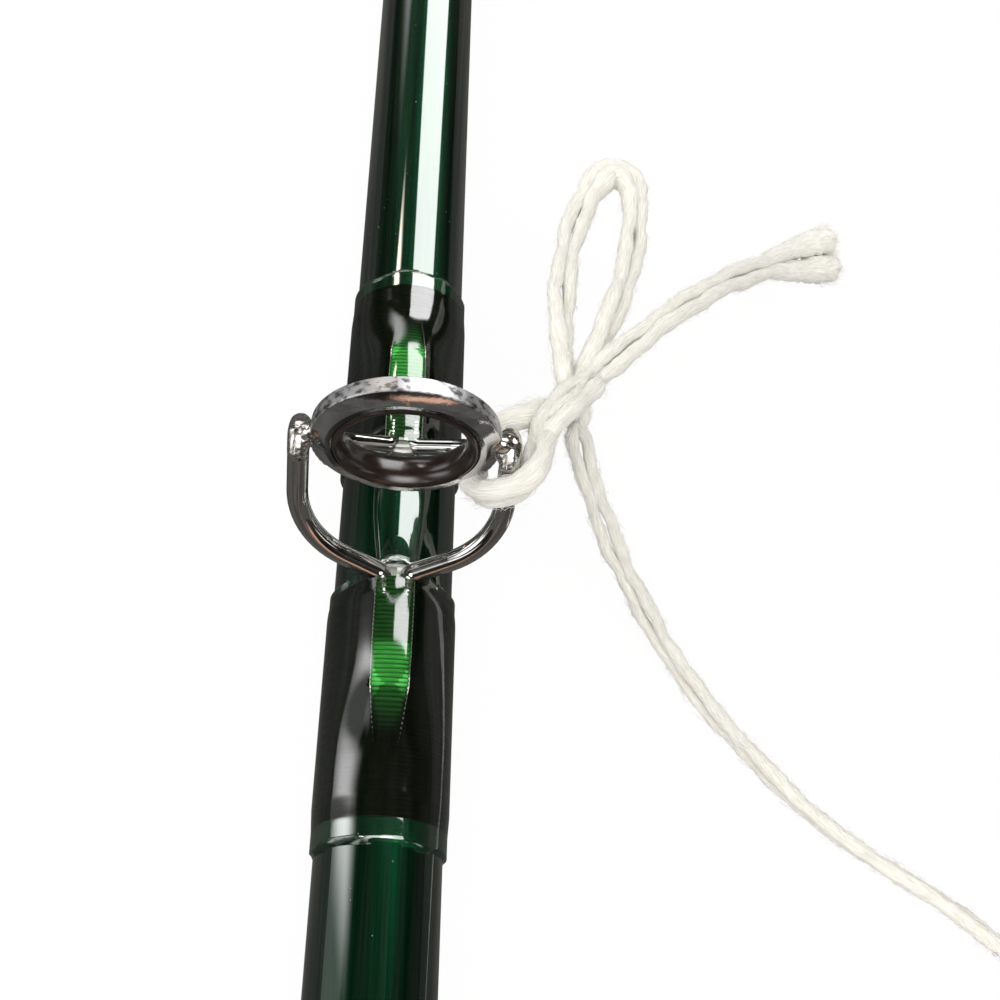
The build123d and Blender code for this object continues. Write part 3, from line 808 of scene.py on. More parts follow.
# ---- Tag string ---------------------------------------------------------------------------
def centreline(name: str, route: Sequence[Point]) -> list[Vector]:
    """Points along the smooth spline of a route.

    Args:
        name: Name for the spline while it exists.
        route: Control points in metres.

    Returns:
        Points in metres.
    """
    curve = bpy.data.curves.new(name, "CURVE")
    curve.dimensions = "3D"
    curve.resolution_u = 16
    spline = curve.splines.new("NURBS")
    spline.points.add(len(route) - 1)
    for spot, place in zip(spline.points, route):
        spot.co = (*place, 1.0)
    spline.order_u = 3
    spline.use_endpoint_u = True
    holder = link(name, curve)
    mesh = bpy.data.meshes.new_from_object(holder)
    line = [vertex.co.copy() for vertex in mesh.vertices]
    bpy.data.objects.remove(holder)
    bpy.data.curves.remove(curve)
    bpy.data.meshes.remove(mesh)
    return line


@dataclass
class Strand:
    """Two-ply string laid along one line."""

    name: str
    route: Sequence[Point]
    twist: tuple[tuple[float, float], ...] = ((0.0, 0.0),)
    frayed: bool = False
    tucked: bool = False
    fibres_per_mm: float = 20.0
    ply_radius: float = 0.57
    ply_offset: float = 0.47
    lay_length: float = 1e9
    spin_length: float = 3.4
    flatten: float = 0.86
    swell: float = 1.08
    flare: float = 0.95
    open_offset: float = 0.92
    fray_length: float = 9.0
    thick_at: float = -99.0
    thick_share: float = 0.0
    thick_span: float = 3.0
    step: float = 0.14
    sides: int = 20
    seed: int = 5
    brush_fibres: int = 520

    # Waves along a ply: height, waves' rate per millimetre, number of the random phase.
    LUMPS = ((0.06, 1.1, 0), (0.045, 2.3, 1))
    RIPPLE = ((0.025, 6.1, 2),)
    DRIFT = ((0.09, 0.8, 3), (0.05, 1.9, 2))
    # Grooves round a ply: depth, more depth where loose, count, share of the spin, random phase.
    GROOVES = ((0.022, 0.05, 4, 2.0, 3), (0.018, 0.07, 7, 3.1, 1))
    TUCK = (-0.3, 1.4)  # stretch in which a hidden end grows to full size
    TUCKED_WIDTH = 0.35
    UNTWIST = 0.4  # radians that the plies turn back where they open
    UNDER = 0.96  # share of the radius at which fibres are rooted

    def frames(self) -> tuple[list[Vector], list[Vector], list[Vector], list[float]]:
        """Divide the line evenly.

        Returns:
            Points in millimetres, tangents, carried normals, and lengths from the start.
        """
        raw = [point / MM for point in centreline(self.name + "_line", self.route)]
        lengths = [0.0]
        for before, after in zip(raw, raw[1:]):
            lengths.append(lengths[-1] + (after - before).length)
        count = max(4, int(lengths[-1] / self.step))
        points, along = [], []
        segment = 0
        for index in range(count + 1):
            wanted = lengths[-1] * index / count
            while segment < len(raw) - 2 and lengths[segment + 1] < wanted:
                segment += 1
            span = lengths[segment + 1] - lengths[segment]
            share = (wanted - lengths[segment]) / span if span else 0.0
            points.append(raw[segment].lerp(raw[segment + 1], min(1.0, share)))
            along.append(wanted)
        tangents = [heading(points, index, 2) for index in range(count + 1)]
        normal = tangents[0].cross(Vector((0.0, 0.0, 1.0))).normalized()
        normals = []
        for tangent in tangents:
            normal = squared(normal, tangent)
            normals.append(normal.copy())
        return points, tangents, normals, along

    def opened(self, s: float, total: float, share: float = 1.0) -> float:
        """How far the plies have opened at a length: 0 in sound string, 1 at a frayed end."""
        return smooth_step(total - self.fray_length * share, total, s) if self.frayed else 0.0

    def ply(self, number: int, phases: list[float], frames: tuple) -> tuple[list[Vector], list[float]]:
        """Lay one ply round the line.

        Args:
            number: 0 or 1.
            phases: Random phases of its unevenness.
            frames: What frames() returned.

        Returns:
            Its middle and its radius at each step.
        """
        points, tangents, normals, along = frames
        total = along[-1]
        stations, degrees = [t[0] for t in self.twist], [t[1] for t in self.twist]
        centres, radii = [], []
        for s, point, tangent, normal in zip(along, points, tangents, normals):
            lumps, ripple, drift = (
                sum(height * math.sin(rate * s + phases[phase]) for height, rate, phase in waves)
                for waves in (self.LUMPS, self.RIPPLE, self.DRIFT)
            )
            loose = self.opened(s, total)
            turn = TURN * s / self.lay_length + number * math.pi
            turn += math.radians(float(np.interp(s, stations, degrees)))
            turn -= self.UNTWIST * loose
            side = math.cos(turn) * normal + math.sin(turn) * tangent.cross(normal)
            offset = (self.ply_offset + drift * (1 - loose)) + (self.open_offset - self.ply_offset) * loose
            far = smooth_step(*self.TUCK, total - s) if self.tucked else 1.0
            tuck = smooth_step(*self.TUCK, s) * far
            centres.append(point + side * offset * tuck)
            bunch = self.thick_share * math.exp(-(((s - self.thick_at) / self.thick_span) ** 2))
            width = 1 + bunch + lumps + ripple + self.flare * loose
            radii.append(self.ply_radius * width * (self.TUCKED_WIDTH + (1 - self.TUCKED_WIDTH) * tuck))
        return centres, radii

    def build(self) -> tuple[Thing, list[Vector]]:
        """Make the string's mesh.

        Returns:
            The piece and its centreline in metres.
        """
        chance = random.Random(self.seed)
        frames = self.frames()
        points, along = frames[0], frames[3]
        hairy = self.fibres_per_mm * self.step / self.sides
        skin = Skin()
        fuzz: list[tuple[Vector, Vector, Vector]] = []
        for number in (0, 1):
            phases = [chance.uniform(0, TURN) for _ in range(4)]
            centres, radii = self.ply(number, phases, frames)
            rings = []
            for index, centre in enumerate(centres):
                ahead = heading(centres, index)
                inward = squared(points[index] - centre, ahead)
                third = ahead.cross(inward)
                loose = self.opened(along[index], along[-1], 0.6)
                spin = TURN * along[index] / self.spin_length
                ring = []
                for k in range(self.sides):
                    angle = TURN * k / self.sides
                    groove = sum(
                        (depth + more * loose) * math.cos(count * angle - spin * share + phases[phase])
                        for depth, more, count, share, phase in self.GROOVES
                    )
                    radius = radii[index] * (1 + groove)
                    out = math.cos(angle) * self.flatten * inward + math.sin(angle) * self.swell * third
                    ring.append(tuple(centre + radius * out))
                    skin.uvs.append((angle * self.ply_radius, along[index]))
                    if chance.random() < hairy and math.cos(angle) < 0.5:
                        fuzz.append((centre + radius * out * self.UNDER, out, ahead))
                rings.append(ring)
            skin.rings(rings)
            skin.unmapped()
            if self.frayed:
                self.brush(chance, fuzz, centres, radii[-1])
        for root, out, ahead in fuzz:
            skin.hair(self.fibre(chance, root, out, ahead), chance.uniform(0.014, 0.028))
        skin.unmapped()
        return skin.build(self.name, 80.0), [point * MM for point in points]

    def brush(self, chance: random.Random, fuzz: list, centres: list[Vector], radius: float) -> None:
        """Collect the many short fibres that stand out of a cut end.

        Args:
            chance: Source of random numbers.
            fuzz: List that gets each root with its outward and forward directions.
            centres: Middle of the ply.
            radius: Radius of its end.
        """
        end = centres[-1]
        ahead = (centres[-1] - centres[-5]).normalized()
        across = ahead.orthogonal().normalized()
        third = ahead.cross(across)
        for _ in range(self.brush_fibres):
            angle, reach = chance.uniform(0, TURN), radius * math.sqrt(chance.random())
            out = math.cos(angle) * across + math.sin(angle) * third
            stray = Vector([chance.gauss(0, 0.07) for _ in range(3)])
            lean = (ahead + out * 0.35 * reach + stray).normalized()
            fuzz.append((end + out * reach * self.UNDER - ahead * 0.5, lean, lean))

    def fibre(self, chance: random.Random, root: Vector, out: Vector, ahead: Vector) -> list[Vector]:
        """Lay one stray fibre.

        Args:
            chance: Source of random numbers.
            root: Where it leaves the ply.
            out: Direction away from the ply.
            ahead: Direction along the ply, the same as out for a fibre of a cut end.

        Returns:
            Points of a fibre that leaves the string and curls back, or runs on from a cut end.
        """
        if out == ahead:
            reach = chance.uniform(0.7, 1.35)
            sway = Vector([chance.gauss(0, 0.06) for _ in range(3)])
            return [root + ahead * reach * t / 4 + sway * (t / 4) ** 2 for t in range(5)]
        reach = chance.uniform(0.3, 1.25)
        lift = chance.uniform(0.15, 0.6)
        bend = Vector([chance.gauss(0, 0.35) for _ in range(3)])
        onward = 1 if chance.random() < 0.5 else -1
        line = []
        for index in range(6):
            t = index / 5
            rise = lift * math.sin(min(1.0, t * 1.3) * math.pi * 0.75)
            line.append(root + reach * (t * onward * ahead * 0.8 + rise * out * 0.5 + bend * t * t * 0.35))
        return line


@dataclass
class TagString:
    """Cotton string tied in a half bow round the right-hand wire of the stripping guide."""

    radius: float = 0.85

    TURN_ROUTE = (
        (0.0091, 0.7408, 0.0105), (0.0076, 0.74, 0.0112), (0.0059, 0.7394, 0.0109),
        (0.0047, 0.7377, 0.0098), (0.0044, 0.7355, 0.0097), (0.005, 0.734, 0.011),
        (0.0062, 0.7334, 0.0124), (0.0074, 0.7338, 0.0128), (0.0082, 0.7352, 0.0127),
        (0.0085, 0.7369, 0.0123), (0.009, 0.7387, 0.0117),
    )
    LOOP_ROUTE = (
        (0.0105, 0.7422, 0.0102), (0.0103, 0.7452, 0.0102), (0.0102, 0.749, 0.01),
        (0.0105, 0.753, 0.0094), (0.0111, 0.7568, 0.0087), (0.012, 0.7603, 0.008),
        (0.0131, 0.7631, 0.0076), (0.0142, 0.7649, 0.0074), (0.0159, 0.7648, 0.0073),
        (0.0164, 0.7628, 0.0075), (0.0161, 0.759, 0.0081), (0.0154, 0.7546, 0.0088),
        (0.0141, 0.7503, 0.0094), (0.0125, 0.7464, 0.01), (0.0112, 0.7434, 0.0103),
    )
    TAIL_ROUTE = (
        (0.0108, 0.7418, 0.0106), (0.013, 0.7446, 0.0106), (0.0163, 0.7482, 0.0102),
        (0.0205, 0.7529, 0.0086), (0.0244, 0.757, 0.0062), (0.0288, 0.7611, 0.0032),
        (0.0336, 0.7647, 0.0002),
    )
    LEAD_ROUTE = (
        (0.0111, 0.7406, 0.0099), (0.0117, 0.7402, 0.0081), (0.0128, 0.7391, 0.0052),
        (0.0142, 0.7377, 0.0022), (0.016, 0.7362, -0.0012), (0.0183, 0.7345, -0.0048),
        (0.0209, 0.7323, -0.0081), (0.0237, 0.7294, -0.00996), (0.0273, 0.7251, -0.00998),
        (0.0315, 0.7208, -0.01), (0.036, 0.7176, -0.01001), (0.0404, 0.7151, -0.01003),
        (0.0446, 0.7119, -0.01004), (0.0482, 0.7078, -0.01006), (0.0508, 0.703, -0.01008),
        (0.0521, 0.6976, -0.01011), (0.052, 0.692, -0.01013), (0.0504, 0.6866, -0.01016),
    )
    KNOT_ROUTES = (
        (
            (0.0076, 0.74, 0.0112), (0.0089, 0.7406, 0.0107), (0.0099, 0.7414, 0.0102),
            (0.0105, 0.7428, 0.0102),
        ),
        (
            (0.0085, 0.7369, 0.0123), (0.0089, 0.7385, 0.0122), (0.0095, 0.7399, 0.0119),
            (0.0102, 0.7411, 0.0115), (0.0112, 0.7424, 0.0109), (0.0126, 0.7441, 0.0107),
        ),
        (
            (0.0117, 0.7452, 0.0103), (0.0112, 0.7434, 0.0102), (0.0111, 0.7416, 0.0101),
            (0.0115, 0.7402, 0.0087),
        ),
        (
            (0.0081, 0.7388, 0.0109), (0.0086, 0.7386, 0.012), (0.0094, 0.739, 0.0126),
            (0.0104, 0.7401, 0.0124), (0.0115, 0.7415, 0.0116), (0.0127, 0.7435, 0.0108),
        ),
    )

    # Turn of the plies about the string: length along it, degrees.
    TURN_TWIST = ((0, 30), (18.4, 200))
    LOOP_TWIST = ((0, 80), (3, 72), (10, 8), (24, -10), (37, -15), (43, -70), (47.4, -100))
    TAIL_TWIST = ((0, 25), (10, -18), (20, 15), (34.5, 70))
    LEAD_TWIST = ((0, 20), (82, -60))
    KNOT_TWISTS = (((0, 30), (4, 80)), ((0, 20), (8, 25)), ((0, 60), (6, 20)), ((0, 20), (8, -10)))

    def piece(self, strand: Strand, *nodes: str) -> Thing:
        """Lay a piece of the knot, which stands for the given CAD nodes. Returns the piece."""
        made, _ = strand.build()
        fit(made, COTTON, Body.BUTT, *nodes)
        return made

    def cord(self, name: str, strand: Strand, end: FarEnd) -> None:
        """Make one cord.

        Args:
            name: CAD node that it stands for.
            strand: The string to lay. It leaves the knot at the start of its route.
            end: What is on its far end. Not used.
        """
        made, line = strand.build()
        fit(made, COTTON, Body.BUTT, name)
        length = sum((b - a).length for a, b in zip(line, line[1:]))
        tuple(strand.route[0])
        [tuple(point) for point in line]
        log.info("%s: %.1f mm of string", name, length / MM)

    def build(self) -> None:
        """Lay the turn, knot, loop, short end and long end."""
        turn = Strand(
            "string_turn", self.TURN_ROUTE, self.TURN_TWIST, tucked=True,
            ply_radius=0.68, ply_offset=0.52, seed=3,
        )
        pieces = [self.piece(turn, "tag_turn")]
        for index, (route, twist) in enumerate(zip(self.KNOT_ROUTES, self.KNOT_TWISTS)):
            crossing = Strand(f"string_knot_{index + 1}", route, twist, tucked=True, seed=20 + index)
            pieces.append(self.piece(crossing, *(("tag_knot",) if index == 0 else ())))
        loop = Strand(
            "string_loop", self.LOOP_ROUTE, self.LOOP_TWIST, tucked=True,
            thick_at=23.5, thick_share=0.55, thick_span=4.0, seed=7,
        )
        tail = Strand(
            "string_tail", self.TAIL_ROUTE, self.TAIL_TWIST, frayed=True,
            flare=1.2, fray_length=11.0, open_offset=1.1, seed=11,
        )
        lead = Strand(
            "string_lead", self.LEAD_ROUTE, self.LEAD_TWIST, frayed=True,
            ply_radius=0.5, ply_offset=0.42, lay_length=110.0, seed=13,
        )
        self.cord("tag_loop", loop, FarEnd.OBJECT)
        self.cord("tag_tail", tail, FarEnd.BARE)
        self.cord("tag_lead", lead, FarEnd.BARE)


# ---- Stripping guide ----------------------------------------------------------------------
@dataclass
class GuideWrap:
    """Thread and clear coat over one foot of the stripping guide."""

    side: Side
    thread_end: float
    coat_end: float
    foot_root: float = 4.9
    foot_end: float = 12.7
    toe_end: float = 16.1
    foot_width: float = 2.5
    foot_top: float = 5.15
    toe_top: float = 4.12
    corner: float = 0.35
    pitch: float = 0.3
    rib_height: float = 0.075
    thread_thickness: float = 0.15
    coat_thickness: float = 0.18
    thinnest: float = 0.03
    feather: float = 3.0
    inset: float = 0.12
    pool_reach: float = 2.2
    coat_steps: int = 120
    segments: int = 128

    STEPS_PER_RIB = 7
    NEVER = 99.0  # radius larger than any part of the wrap
    FLOW_STEPS = 24
    FLOW_WIDTH = 11.0

    def name(self) -> str:
        """Front or rear, as the CAD nodes are called."""
        return "front" if self.side is Side.FRONT else "rear"

    def station(self, away: float) -> float:
        """Station at a distance from the guide's plane, on this foot's side."""
        return GUIDE_Y + self.side.value * away

    def angles(self) -> np.ndarray:
        """Angle of each segment from the top."""
        return TURN * np.arange(self.segments) / self.segments

    def outline(self, away: float, grow: float, soften: float = 4.0) -> np.ndarray:
        """Radius of the taut outline over blank and foot, for each angle from the top.

        Args:
            away: Distance from the guide's plane.
            grow: Thickness over both.
            soften: Degrees over which its flats are rounded.

        Returns:
            One radius per segment.
        """
        slope = min(1.0, max(0.0, (away - self.foot_end) / (self.toe_end - self.foot_end)))
        base = blank_radius(self.station(away)) + grow
        half = self.foot_width / 2 * (1 - 0.4 * slope)
        top = self.foot_top + (self.toe_top - self.foot_top) * slope
        facing = np.radians(np.arange(0.0, 360.0, 1.0))
        reach = (top - self.corner) * np.cos(facing) + (half - self.corner) * np.abs(np.sin(facing))
        support = np.full_like(facing, base)
        if away < self.toe_end:
            support = np.maximum(base, reach + self.corner + grow)
        spread_out = np.exp(-0.5 * (np.arange(-40, 41) / soften) ** 2)
        wrapped = np.concatenate([support[-40:], support, support[:40]])
        support = np.convolve(wrapped, spread_out / spread_out.sum(), mode="valid")
        cosines = np.cos(self.angles()[:, None] - facing[None, :])
        cuts = np.where(cosines > 0.2, support[None, :] / np.maximum(cosines, 0.2), self.NEVER)
        return cuts.min(axis=1)

    def outlines(self, stations: np.ndarray, grow: float, soften: float) -> np.ndarray:
        """Taut outlines at many distances, none of them closer than the foot's root."""
        return np.array([self.outline(max(away, self.foot_root), grow, soften) for away in stations])

    def levelled(self, rows: np.ndarray) -> np.ndarray:
        """Flow a stack of outlines along the rod, as a wet coat levels."""
        steps = self.FLOW_STEPS
        flow = np.exp(-0.5 * (np.arange(-steps, steps + 1) / self.FLOW_WIDTH) ** 2)
        padded = np.vstack([rows[:1]] * steps + [rows] + [rows[-1:]] * steps)
        return np.array([np.convolve(column, flow / flow.sum(), mode="valid") for column in padded.T]).T

    def ring(self, radii: np.ndarray, away: float) -> list[Point]:
        """Ring of points at a distance from the guide's plane."""
        y = self.station(away)
        return [(r * math.sin(a), y, r * math.cos(a)) for r, a in zip(radii, self.angles())]

    def thread(self) -> Thing:
        """Wind the thread: one rounded rib each pitch, on a slow helix.

        Returns:
            The winding, with painted light from the foot below stored at each point.
        """
        skin = Skin()
        rings = []
        angles = self.angles()
        start, step = self.foot_root + 0.4, self.pitch / self.STEPS_PER_RIB
        count = int((self.thread_end - start) / step)
        for index in range(count + 1):
            away = start + step * index
            phase = away / self.pitch + angles / TURN
            ribs = np.sqrt(np.maximum(0.0, 1.0 - (2 * (phase % 1.0) - 1.0) ** 2))
            radii = self.outline(away, self.thread_thickness - 0.07, 0.3) + self.rib_height * ribs
            rings.append(self.ring(radii, away))
            # Painted light: over the foot the thread is brightest from about 10.3 mm to 12.6 mm out, dimmer
            # towards the root and toe, and brighter on each rib's crest.
            slope = smooth_step(self.toe_end - 0.2, self.foot_end - 0.6, away)
            half = self.foot_width / 2 * (0.55 + 0.45 * slope)
            across = np.abs(radii * np.sin(angles))
            over = np.where(np.cos(angles) > 0, np.clip((half - across) / 0.22, 0, 1), 0) * slope
            bright = 0.22 + 0.78 * smooth_step(9.6, 10.3, away) * (1 - 0.75 * smooth_step(12.6, 13.0, away))
            skin.lit.extend(float(v) for v in over * bright * (0.12 + 0.88 * ribs**2))
        for away in (start + count * step, start):
            rings.append(self.ring(self.outline(away, -0.35), away))
        skin.lit.extend([0.0] * (2 * self.segments))
        skin.rings(rings, loop=True)
        return skin.build(f"{self.name()}_thread_winding", 70.0)

    def pool(self, away: float, angles: np.ndarray, base: float) -> np.ndarray:
        """Coat that has pooled at the foot's root.

        Args:
            away: Distance from the guide's plane.
            angles: Angle of each segment from the top.
            base: Radius of the blank.

        Returns:
            One radius per segment, 0 where there is no pool.
        """
        across = base * np.sin(angles)
        edge = 2.05 + 0.16 * np.sin(5 * angles + 2.3 * away) + 0.1 * np.sin(11 * angles)
        deep = 1 - (across / edge) ** 2 - (min(0.0, away - self.foot_root - 0.3) / 2.15) ** 2
        lumps = 0.07 * np.sin(19 * angles + 3.1 * away) * np.sin(4.3 * away + 1.0)
        filled = np.minimum(0.62, 1.5 * deep) + lumps * np.clip(2 * deep, 0, 1)
        return np.where((np.cos(angles) > 0) & (away < self.foot_root + 0.6), base + filled, 0.0)

    def coat(self) -> Thing:
        """Flow the clear coat over the thread, with feathered ends and a pool at the foot's root.

        Returns:
            The coat.
        """
        angles = self.angles()
        begin = self.foot_root - self.pool_reach
        stations = np.linspace(begin, self.coat_end + 0.25, self.coat_steps + 1)
        bases = np.array([blank_radius(self.station(away)) for away in stations])[:, None]
        taut = self.levelled(self.outlines(stations, 0.0, 11.0))
        eased = self.outlines(stations, self.thread_thickness + 0.1, 9.0)
        tight = self.outlines(stations, self.thread_thickness + 0.04, 1.0)
        cover = self.levelled(np.maximum(eased, tight))
        phase = 1.3 * self.side.value
        full = self.thread_thickness + self.coat_thickness
        rings = []
        for index, away in enumerate(stations):
            base = bases[index]
            end = self.coat_end + 0.12 * np.sin(3 * angles + phase) + 0.07 * np.sin(7 * angles + 2.1 * phase)
            left = np.clip((end - away) / self.feather, -1, 1)
            swell = self.thinnest + (full - self.thinnest) * np.sqrt(np.clip(left, 0, 1))
            far = np.where(left > 0, swell, -self.inset)
            start = self.foot_root - 0.5 + 0.12 * np.sin(2 * angles + phase)
            near = np.clip((away - start) / self.pool_reach, -1, 1)
            ease = np.sin(np.clip(near, 0, 1) * math.pi / 2)
            rise = taut[index] - base
            thick = np.minimum(far, 0.02 + (full - 0.02) * ease) + rise * np.minimum(1, ease * 1.6)
            grow = np.where((near > 0) & (left > 0), thick, -self.inset)
            pooled = self.pool(away, angles, base)
            radii = np.maximum(base + grow, np.maximum(pooled, base - self.inset))
            covered = (near > 0.15) & (left > 0.08)
            rings.append(self.ring(np.where(covered, np.maximum(radii, cover[index]), radii), away))
        inner = blank_radius(GUIDE_Y) - 0.35
        for away in (stations[-1], begin):
            rings.append(self.ring(np.full(self.segments, inner), away))
        skin = Skin()
        skin.rings(rings, loop=True)
        return skin.build(f"{self.name()}_clear_coat", 60.0)

    def build(self) -> None:
        """Make thread and coat."""
        fit(self.thread(), THREAD_NYLON, Body.BUTT, f"{self.name()}_thread")
        fit(self.coat(), EPOXY_COAT, Body.BUTT, f"{self.name()}_epoxy")


@dataclass
class StrippingGuide:
    """Ring, lugs, wire frame, ground feet and their wraps."""

    ring_height: float = 14.0
    satin_radius: float = 5.8
    leg_x: float = 6.52
    wire_radius: float = 0.675
    apex_height: float = 13.6
    fillet_radius: float = 5.55
    grain: float = 0.07
    flow: float = 0.5
    flow_rounds: int = 14
    fork_middle: float = 4.65
    segments: int = 192

    SEAT = ((4.6, -0.99), (4.96, -1.02), (5.05, -0.99), (5.76, -0.56), (5.83, -0.5), (5.85, -0.42))
    LINER = (
        (4.54, -0.9), (4.51, -1.0), (4.44, -1.07), (4.33, -1.1), (4.2, -1.07), (4.07, -0.98),
        (3.96, -0.84), (3.87, -0.66), (3.8, -0.46), (3.76, -0.24), (3.75, 0.0),
    )
    FORK = (
        (0.0, 5.3), (0.75, 4.75), (1.15, 4.42), (0.6, 4.2),
        (0.0, 4.12), (-0.6, 4.2), (-1.15, 4.42), (-0.75, 4.75),
    )
    FORK_LEVELS = ((4.0, 1.0), (4.78, 1.0), (4.92, 0.93), (4.98, 0.8))  # height, share of the size

    def turned_ring(self, name: str, half: Sequence[tuple[float, float]], satin: float = 1e6) -> Thing:
        """Turn a ring whose two faces mirror each other.

        Args:
            name: Name of the piece.
            half: Outline of the face towards the butt, from its plane.
            satin: Radius from which it is satin.

        Returns:
            The ring.
        """
        outline = [(r, GUIDE_Y + y) for r, y in half]
        outline += [(r, GUIDE_Y - y) for r, y in reversed(half)]
        return lathe(name, outline, self.segments, self.ring_height, satin)

    def lug_blobs(self, side: int, seed: int) -> list[tuple[Vector, float]]:
        """Place the drops of braze that a lug is melted from.

        Args:
            side: Sign of x.
            seed: Seed of their unevenness.

        Returns:
            Middle and radius of each drop.
        """
        chance = random.Random(seed)
        blobs = []
        for k in range(13):
            angle = math.radians(-30 + 5 * k)
            x = side * self.fillet_radius * math.cos(angle)
            z = self.ring_height + self.fillet_radius * math.sin(angle) - 0.6
            blobs.append((Vector((x, 0.0, z)), 0.46 - 0.006 * abs(k - 6)))
        for k in range(9):
            y = -1.0 + 0.25 * k
            drop = 0.55 * abs(y) ** 1.6
            spot = Vector((side * self.leg_x, y, self.apex_height - 0.05 - drop))
            blobs.append((spot, self.wire_radius + 0.1 - 0.05 * abs(y)))
        for _ in range(6):
            x = side * (6.1 + chance.uniform(-0.1, 0.2))
            y, z = chance.uniform(-0.5, 0.5), 13.7 + chance.uniform(-0.5, 0.4)
            blobs.append((Vector((x, y, z)), chance.uniform(0.45, 0.62)))
        return blobs

    def lug(self, side: int, seed: int) -> Thing:
        """Flow a brazed fillet between the ring's side and the top of a wire.

        Args:
            side: Sign of x.
            seed: Seed of its unevenness.

        Returns:
            The lug.
        """
        shape = bmesh.new()
        for spot, size in self.lug_blobs(side, seed):
            bmesh.ops.create_icosphere(shape, subdivisions=2, radius=size, matrix=Matrix.Translation(spot))
        mesh = bpy.data.meshes.new(f"brazed_lug_{seed}")
        shape.to_mesh(mesh)
        shape.free()
        holder = link("braze_blobs", mesh)
        weld = holder.modifiers.new("weld", "REMESH")
        weld.mode = "VOXEL"
        weld.voxel_size = self.grain
        flow = holder.modifiers.new("flow", "SMOOTH")
        flow.factor = self.flow
        flow.iterations = self.flow_rounds
        graph = bpy.context.evaluated_depsgraph_get()
        made = bpy.data.meshes.new_from_object(holder.evaluated_get(graph))
        bpy.data.objects.remove(holder)
        made.transform(Matrix.Translation(Vector((0, GUIDE_Y * MM, 0))) @ Matrix.Scale(MM, 4))
        made.shade_smooth()
        return link("brazed_lug_left" if side < 0 else "brazed_lug_right", made)

    def web(self, side: Side) -> Thing:
        """Flow the small ground web that fills the fork between the wires above a foot.

        Args:
            side: Which foot it is on.

        Returns:
            The web.
        """
        skin = Skin()
        rings = []
        for height, share in self.FORK_LEVELS:
            ring = []
            for x, y in self.FORK:
                away = self.fork_middle + (y - self.fork_middle) * share
                ring.append((x * share, GUIDE_Y + side.value * away, height))
            rings.append(ring)
        skin.rings(rings)
        return skin.build(f"fork_web_{'front' if side is Side.FRONT else 'rear'}", 35.0)

    def build(self) -> None:
        """Make the ring, lugs and wraps, and dress the wires and feet."""
        seat = self.turned_ring("ring_band", self.SEAT, self.satin_radius)
        fit(seat, RING_METAL, Body.BUTT, "ring_seat")
        fit(self.turned_ring("ring_liner_lapped", self.LINER), CERAMIC, Body.BUTT, "ring_liner")
        fit(self.lug(-1, 2), BRAZE, Body.BUTT, "ring_braze")
        fit(self.lug(1, 4), BRAZE, Body.BUTT)
        dress(CHROME, "frame_wire_left", "frame_wire_right")
        dress(CHROME_GROUND, "foot_front", "foot_rear")
        for side in Side:
            fit(self.web(side), CHROME_GROUND, Body.BUTT)
        GuideWrap(Side.FRONT, 20.8, 22.5).build()
        GuideWrap(Side.REAR, 19.3, 20.7).build()


# ---- Rod ----------------------------------------------------------------------------------
@dataclass
class Blank:
    """The two tapered graphite tubes and the ferrule between them."""

    start: float = 6.0
    bore: float = 3.9
    ferrule_end: float = 1371.0
    gap: float = 6.0
    spigot_depth: float = 60.0
    spigot_radius: float = 2.4
    spigot_taper: float = 0.0025
    clearance: float = 0.05
    spare_depth: float = 4.0
    tip_end: float = 2741.0
    tip_bore: float = 0.4
    edge: float = 0.15
    spacing: float = 12.0
    segments: int = 144

    def outside(self, start: float, end: float) -> list[tuple[float, float]]:
        """Outline of the taper between two stations, with eased ends.

        Args:
            start: First station.
            end: Last station.

        Returns:
            Corners as (radius, station).
        """
        count = int((end - start) / self.spacing)
        middle = [start + self.edge + (end - start - 2 * self.edge) * k / count for k in range(count + 1)]
        outline = [(blank_radius(start) - self.edge, start)]
        outline += [(blank_radius(y), y) for y in middle]
        return outline + [(blank_radius(end) - self.edge, end)]

    def socket(self, y: float) -> tuple[float, float]:
        """Corner of the bore that takes the spigot, at a station."""
        return self.spigot_radius - self.spigot_taper * (y - self.ferrule_end) + self.clearance, y

    def build(self) -> None:
        """Turn both tubes and dress the ferrule."""
        step = self.ferrule_end - self.spigot_depth
        outline = self.outside(self.start, self.ferrule_end)
        outline += [(self.spigot_radius, self.ferrule_end), (self.spigot_radius, step)]
        outline.append((self.bore, self.start))
        fit(lathe("butt_tube", outline, self.segments), BLANK_VARNISH, Body.BUTT, "butt_blank")
        start = self.ferrule_end + self.gap
        deep = start + self.spigot_depth + self.spare_depth
        outline = self.outside(start, self.tip_end)
        outline += [(self.tip_bore, self.tip_end), self.socket(deep), self.socket(start)]
        fit(lathe("tip_tube", outline, self.segments), BLANK_VARNISH, Body.TIP, "tip_blank")
        dress(SPIGOT, "ferrule_spigot")
        dress(WRAP_NYLON, "ferrule_wrap_butt", "ferrule_wrap_tip")


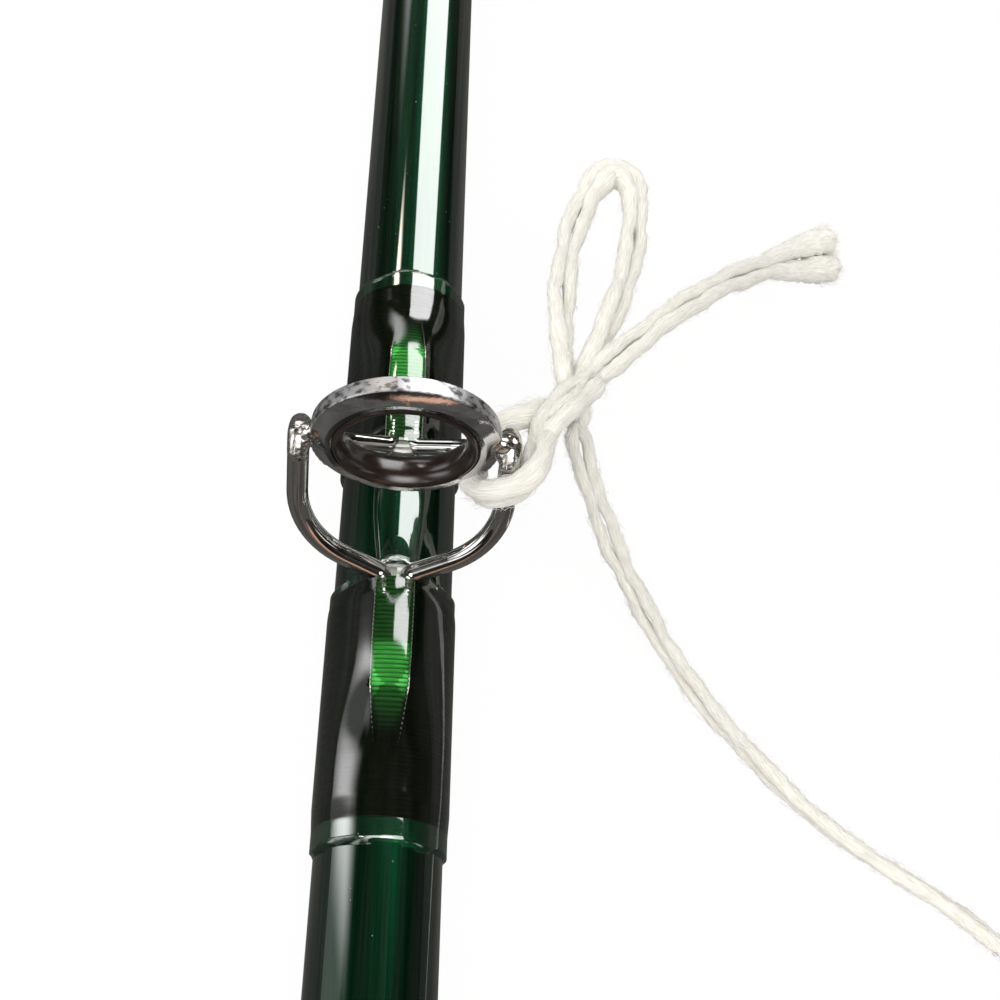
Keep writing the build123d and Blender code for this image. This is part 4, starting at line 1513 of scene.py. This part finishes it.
@dataclass
class SnakeGuide:
    """Running guide: one wire bent into an open turn, with a ground foot at each end."""

    station: float
    inside: float
    wire_radius: float
    foot: float = 8.0
    reach_share: float = 0.85
    sway_share: float = 0.66
    rise_share: float = 1.08
    stations: int = 96
    sides: int = 14

    def line(self) -> list[Vector]:
        """Lay the middle of the wire.

        Returns:
            Points from the foot towards the butt to the foot towards the tip.
        """
        loop = self.inside + 2 * self.wire_radius
        low = blank_radius(self.station - self.inside - self.foot - 1) + self.wire_radius
        reach = self.reach_share * loop
        points = [Vector((0.0, self.station - reach - self.foot, low))]
        for index in range(self.stations + 1):
            t = 2 * index / self.stations - 1
            sway = -self.sway_share * loop * math.sin(math.pi * t) * (1 - t**8)
            rise = self.rise_share * loop * max(0.0, math.cos(math.pi * t / 2)) ** 2.2
            points.append(Vector((sway, self.station + reach * t, low + rise)))
        points.append(Vector((0.0, self.station + reach + self.foot, low)))
        return points

    def build(self, name: str) -> Thing:
        """Sweep the round wire along its line.

        Args:
            name: Name of the piece.

        Returns:
            The wire.
        """
        line = self.line()
        normal = Vector((1.0, 0.0, 0.0))
        rings = []
        for index, point in enumerate(line):
            ahead = heading(line, index)
            normal = squared(normal, ahead)
            rings.append(hoop(point, self.wire_radius, normal, ahead.cross(normal), self.sides))
        skin = Skin()
        skin.rings(rings)
        return skin.build(name, 60.0)


@dataclass
class Fittings:
    """Reel seat, grip, hook keeper, running guides and tip top."""

    on_butt: int = 2  # running guides on the butt section

    # Station, height inside the wire, radius of the wire.
    SNAKES = (
        (1041.0, 7.6, 0.55), (1315.0, 7.2, 0.55), (1575.0, 6.6, 0.5),
        (1803.0, 6.2, 0.5), (2006.0, 5.8, 0.45), (2191.0, 5.4, 0.45),
        (2356.0, 5.0, 0.4), (2502.0, 4.8, 0.4), (2629.0, 4.8, 0.4),
    )

    def build(self) -> None:
        """Dress every kept node and bend the running guides."""
        dress(ANODISED, "butt_cap", "seat_barrel", "fixed_hood", "sliding_hood")
        dress(ANODISED, "locking_nut", "jam_nut", "winding_check")
        dress(WOOD, "seat_insert")
        dress(BUSHING, "seat_arbor")
        dress(CORK, "cork_rings")
        dress(CHROME, "keeper_strap", "keeper_ring", "tip_top_tube", "tip_top_loop", "tip_top_struts")
        dress(WRAP_NYLON, "keeper_wraps", "tip_top_wrap")
        for index, sizes in enumerate(self.SNAKES, start=1):
            wire = SnakeGuide(*sizes).build(f"running_guide_{index}")
            fit(wire, CHROME, Body.BUTT if index <= self.on_butt else Body.TIP, f"snake_{index}")
            dress(WRAP_NYLON, f"snake_wraps_{index}")


def main() -> None:
    """Build everything in order."""
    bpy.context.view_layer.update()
    CloseCamera().build()
    TagString().build()
    Studio().build()
    StrippingGuide().build()
    Blank().build()
    Fittings().build()
    log.info("boxes written")


if __name__ == "__main__":
    main()
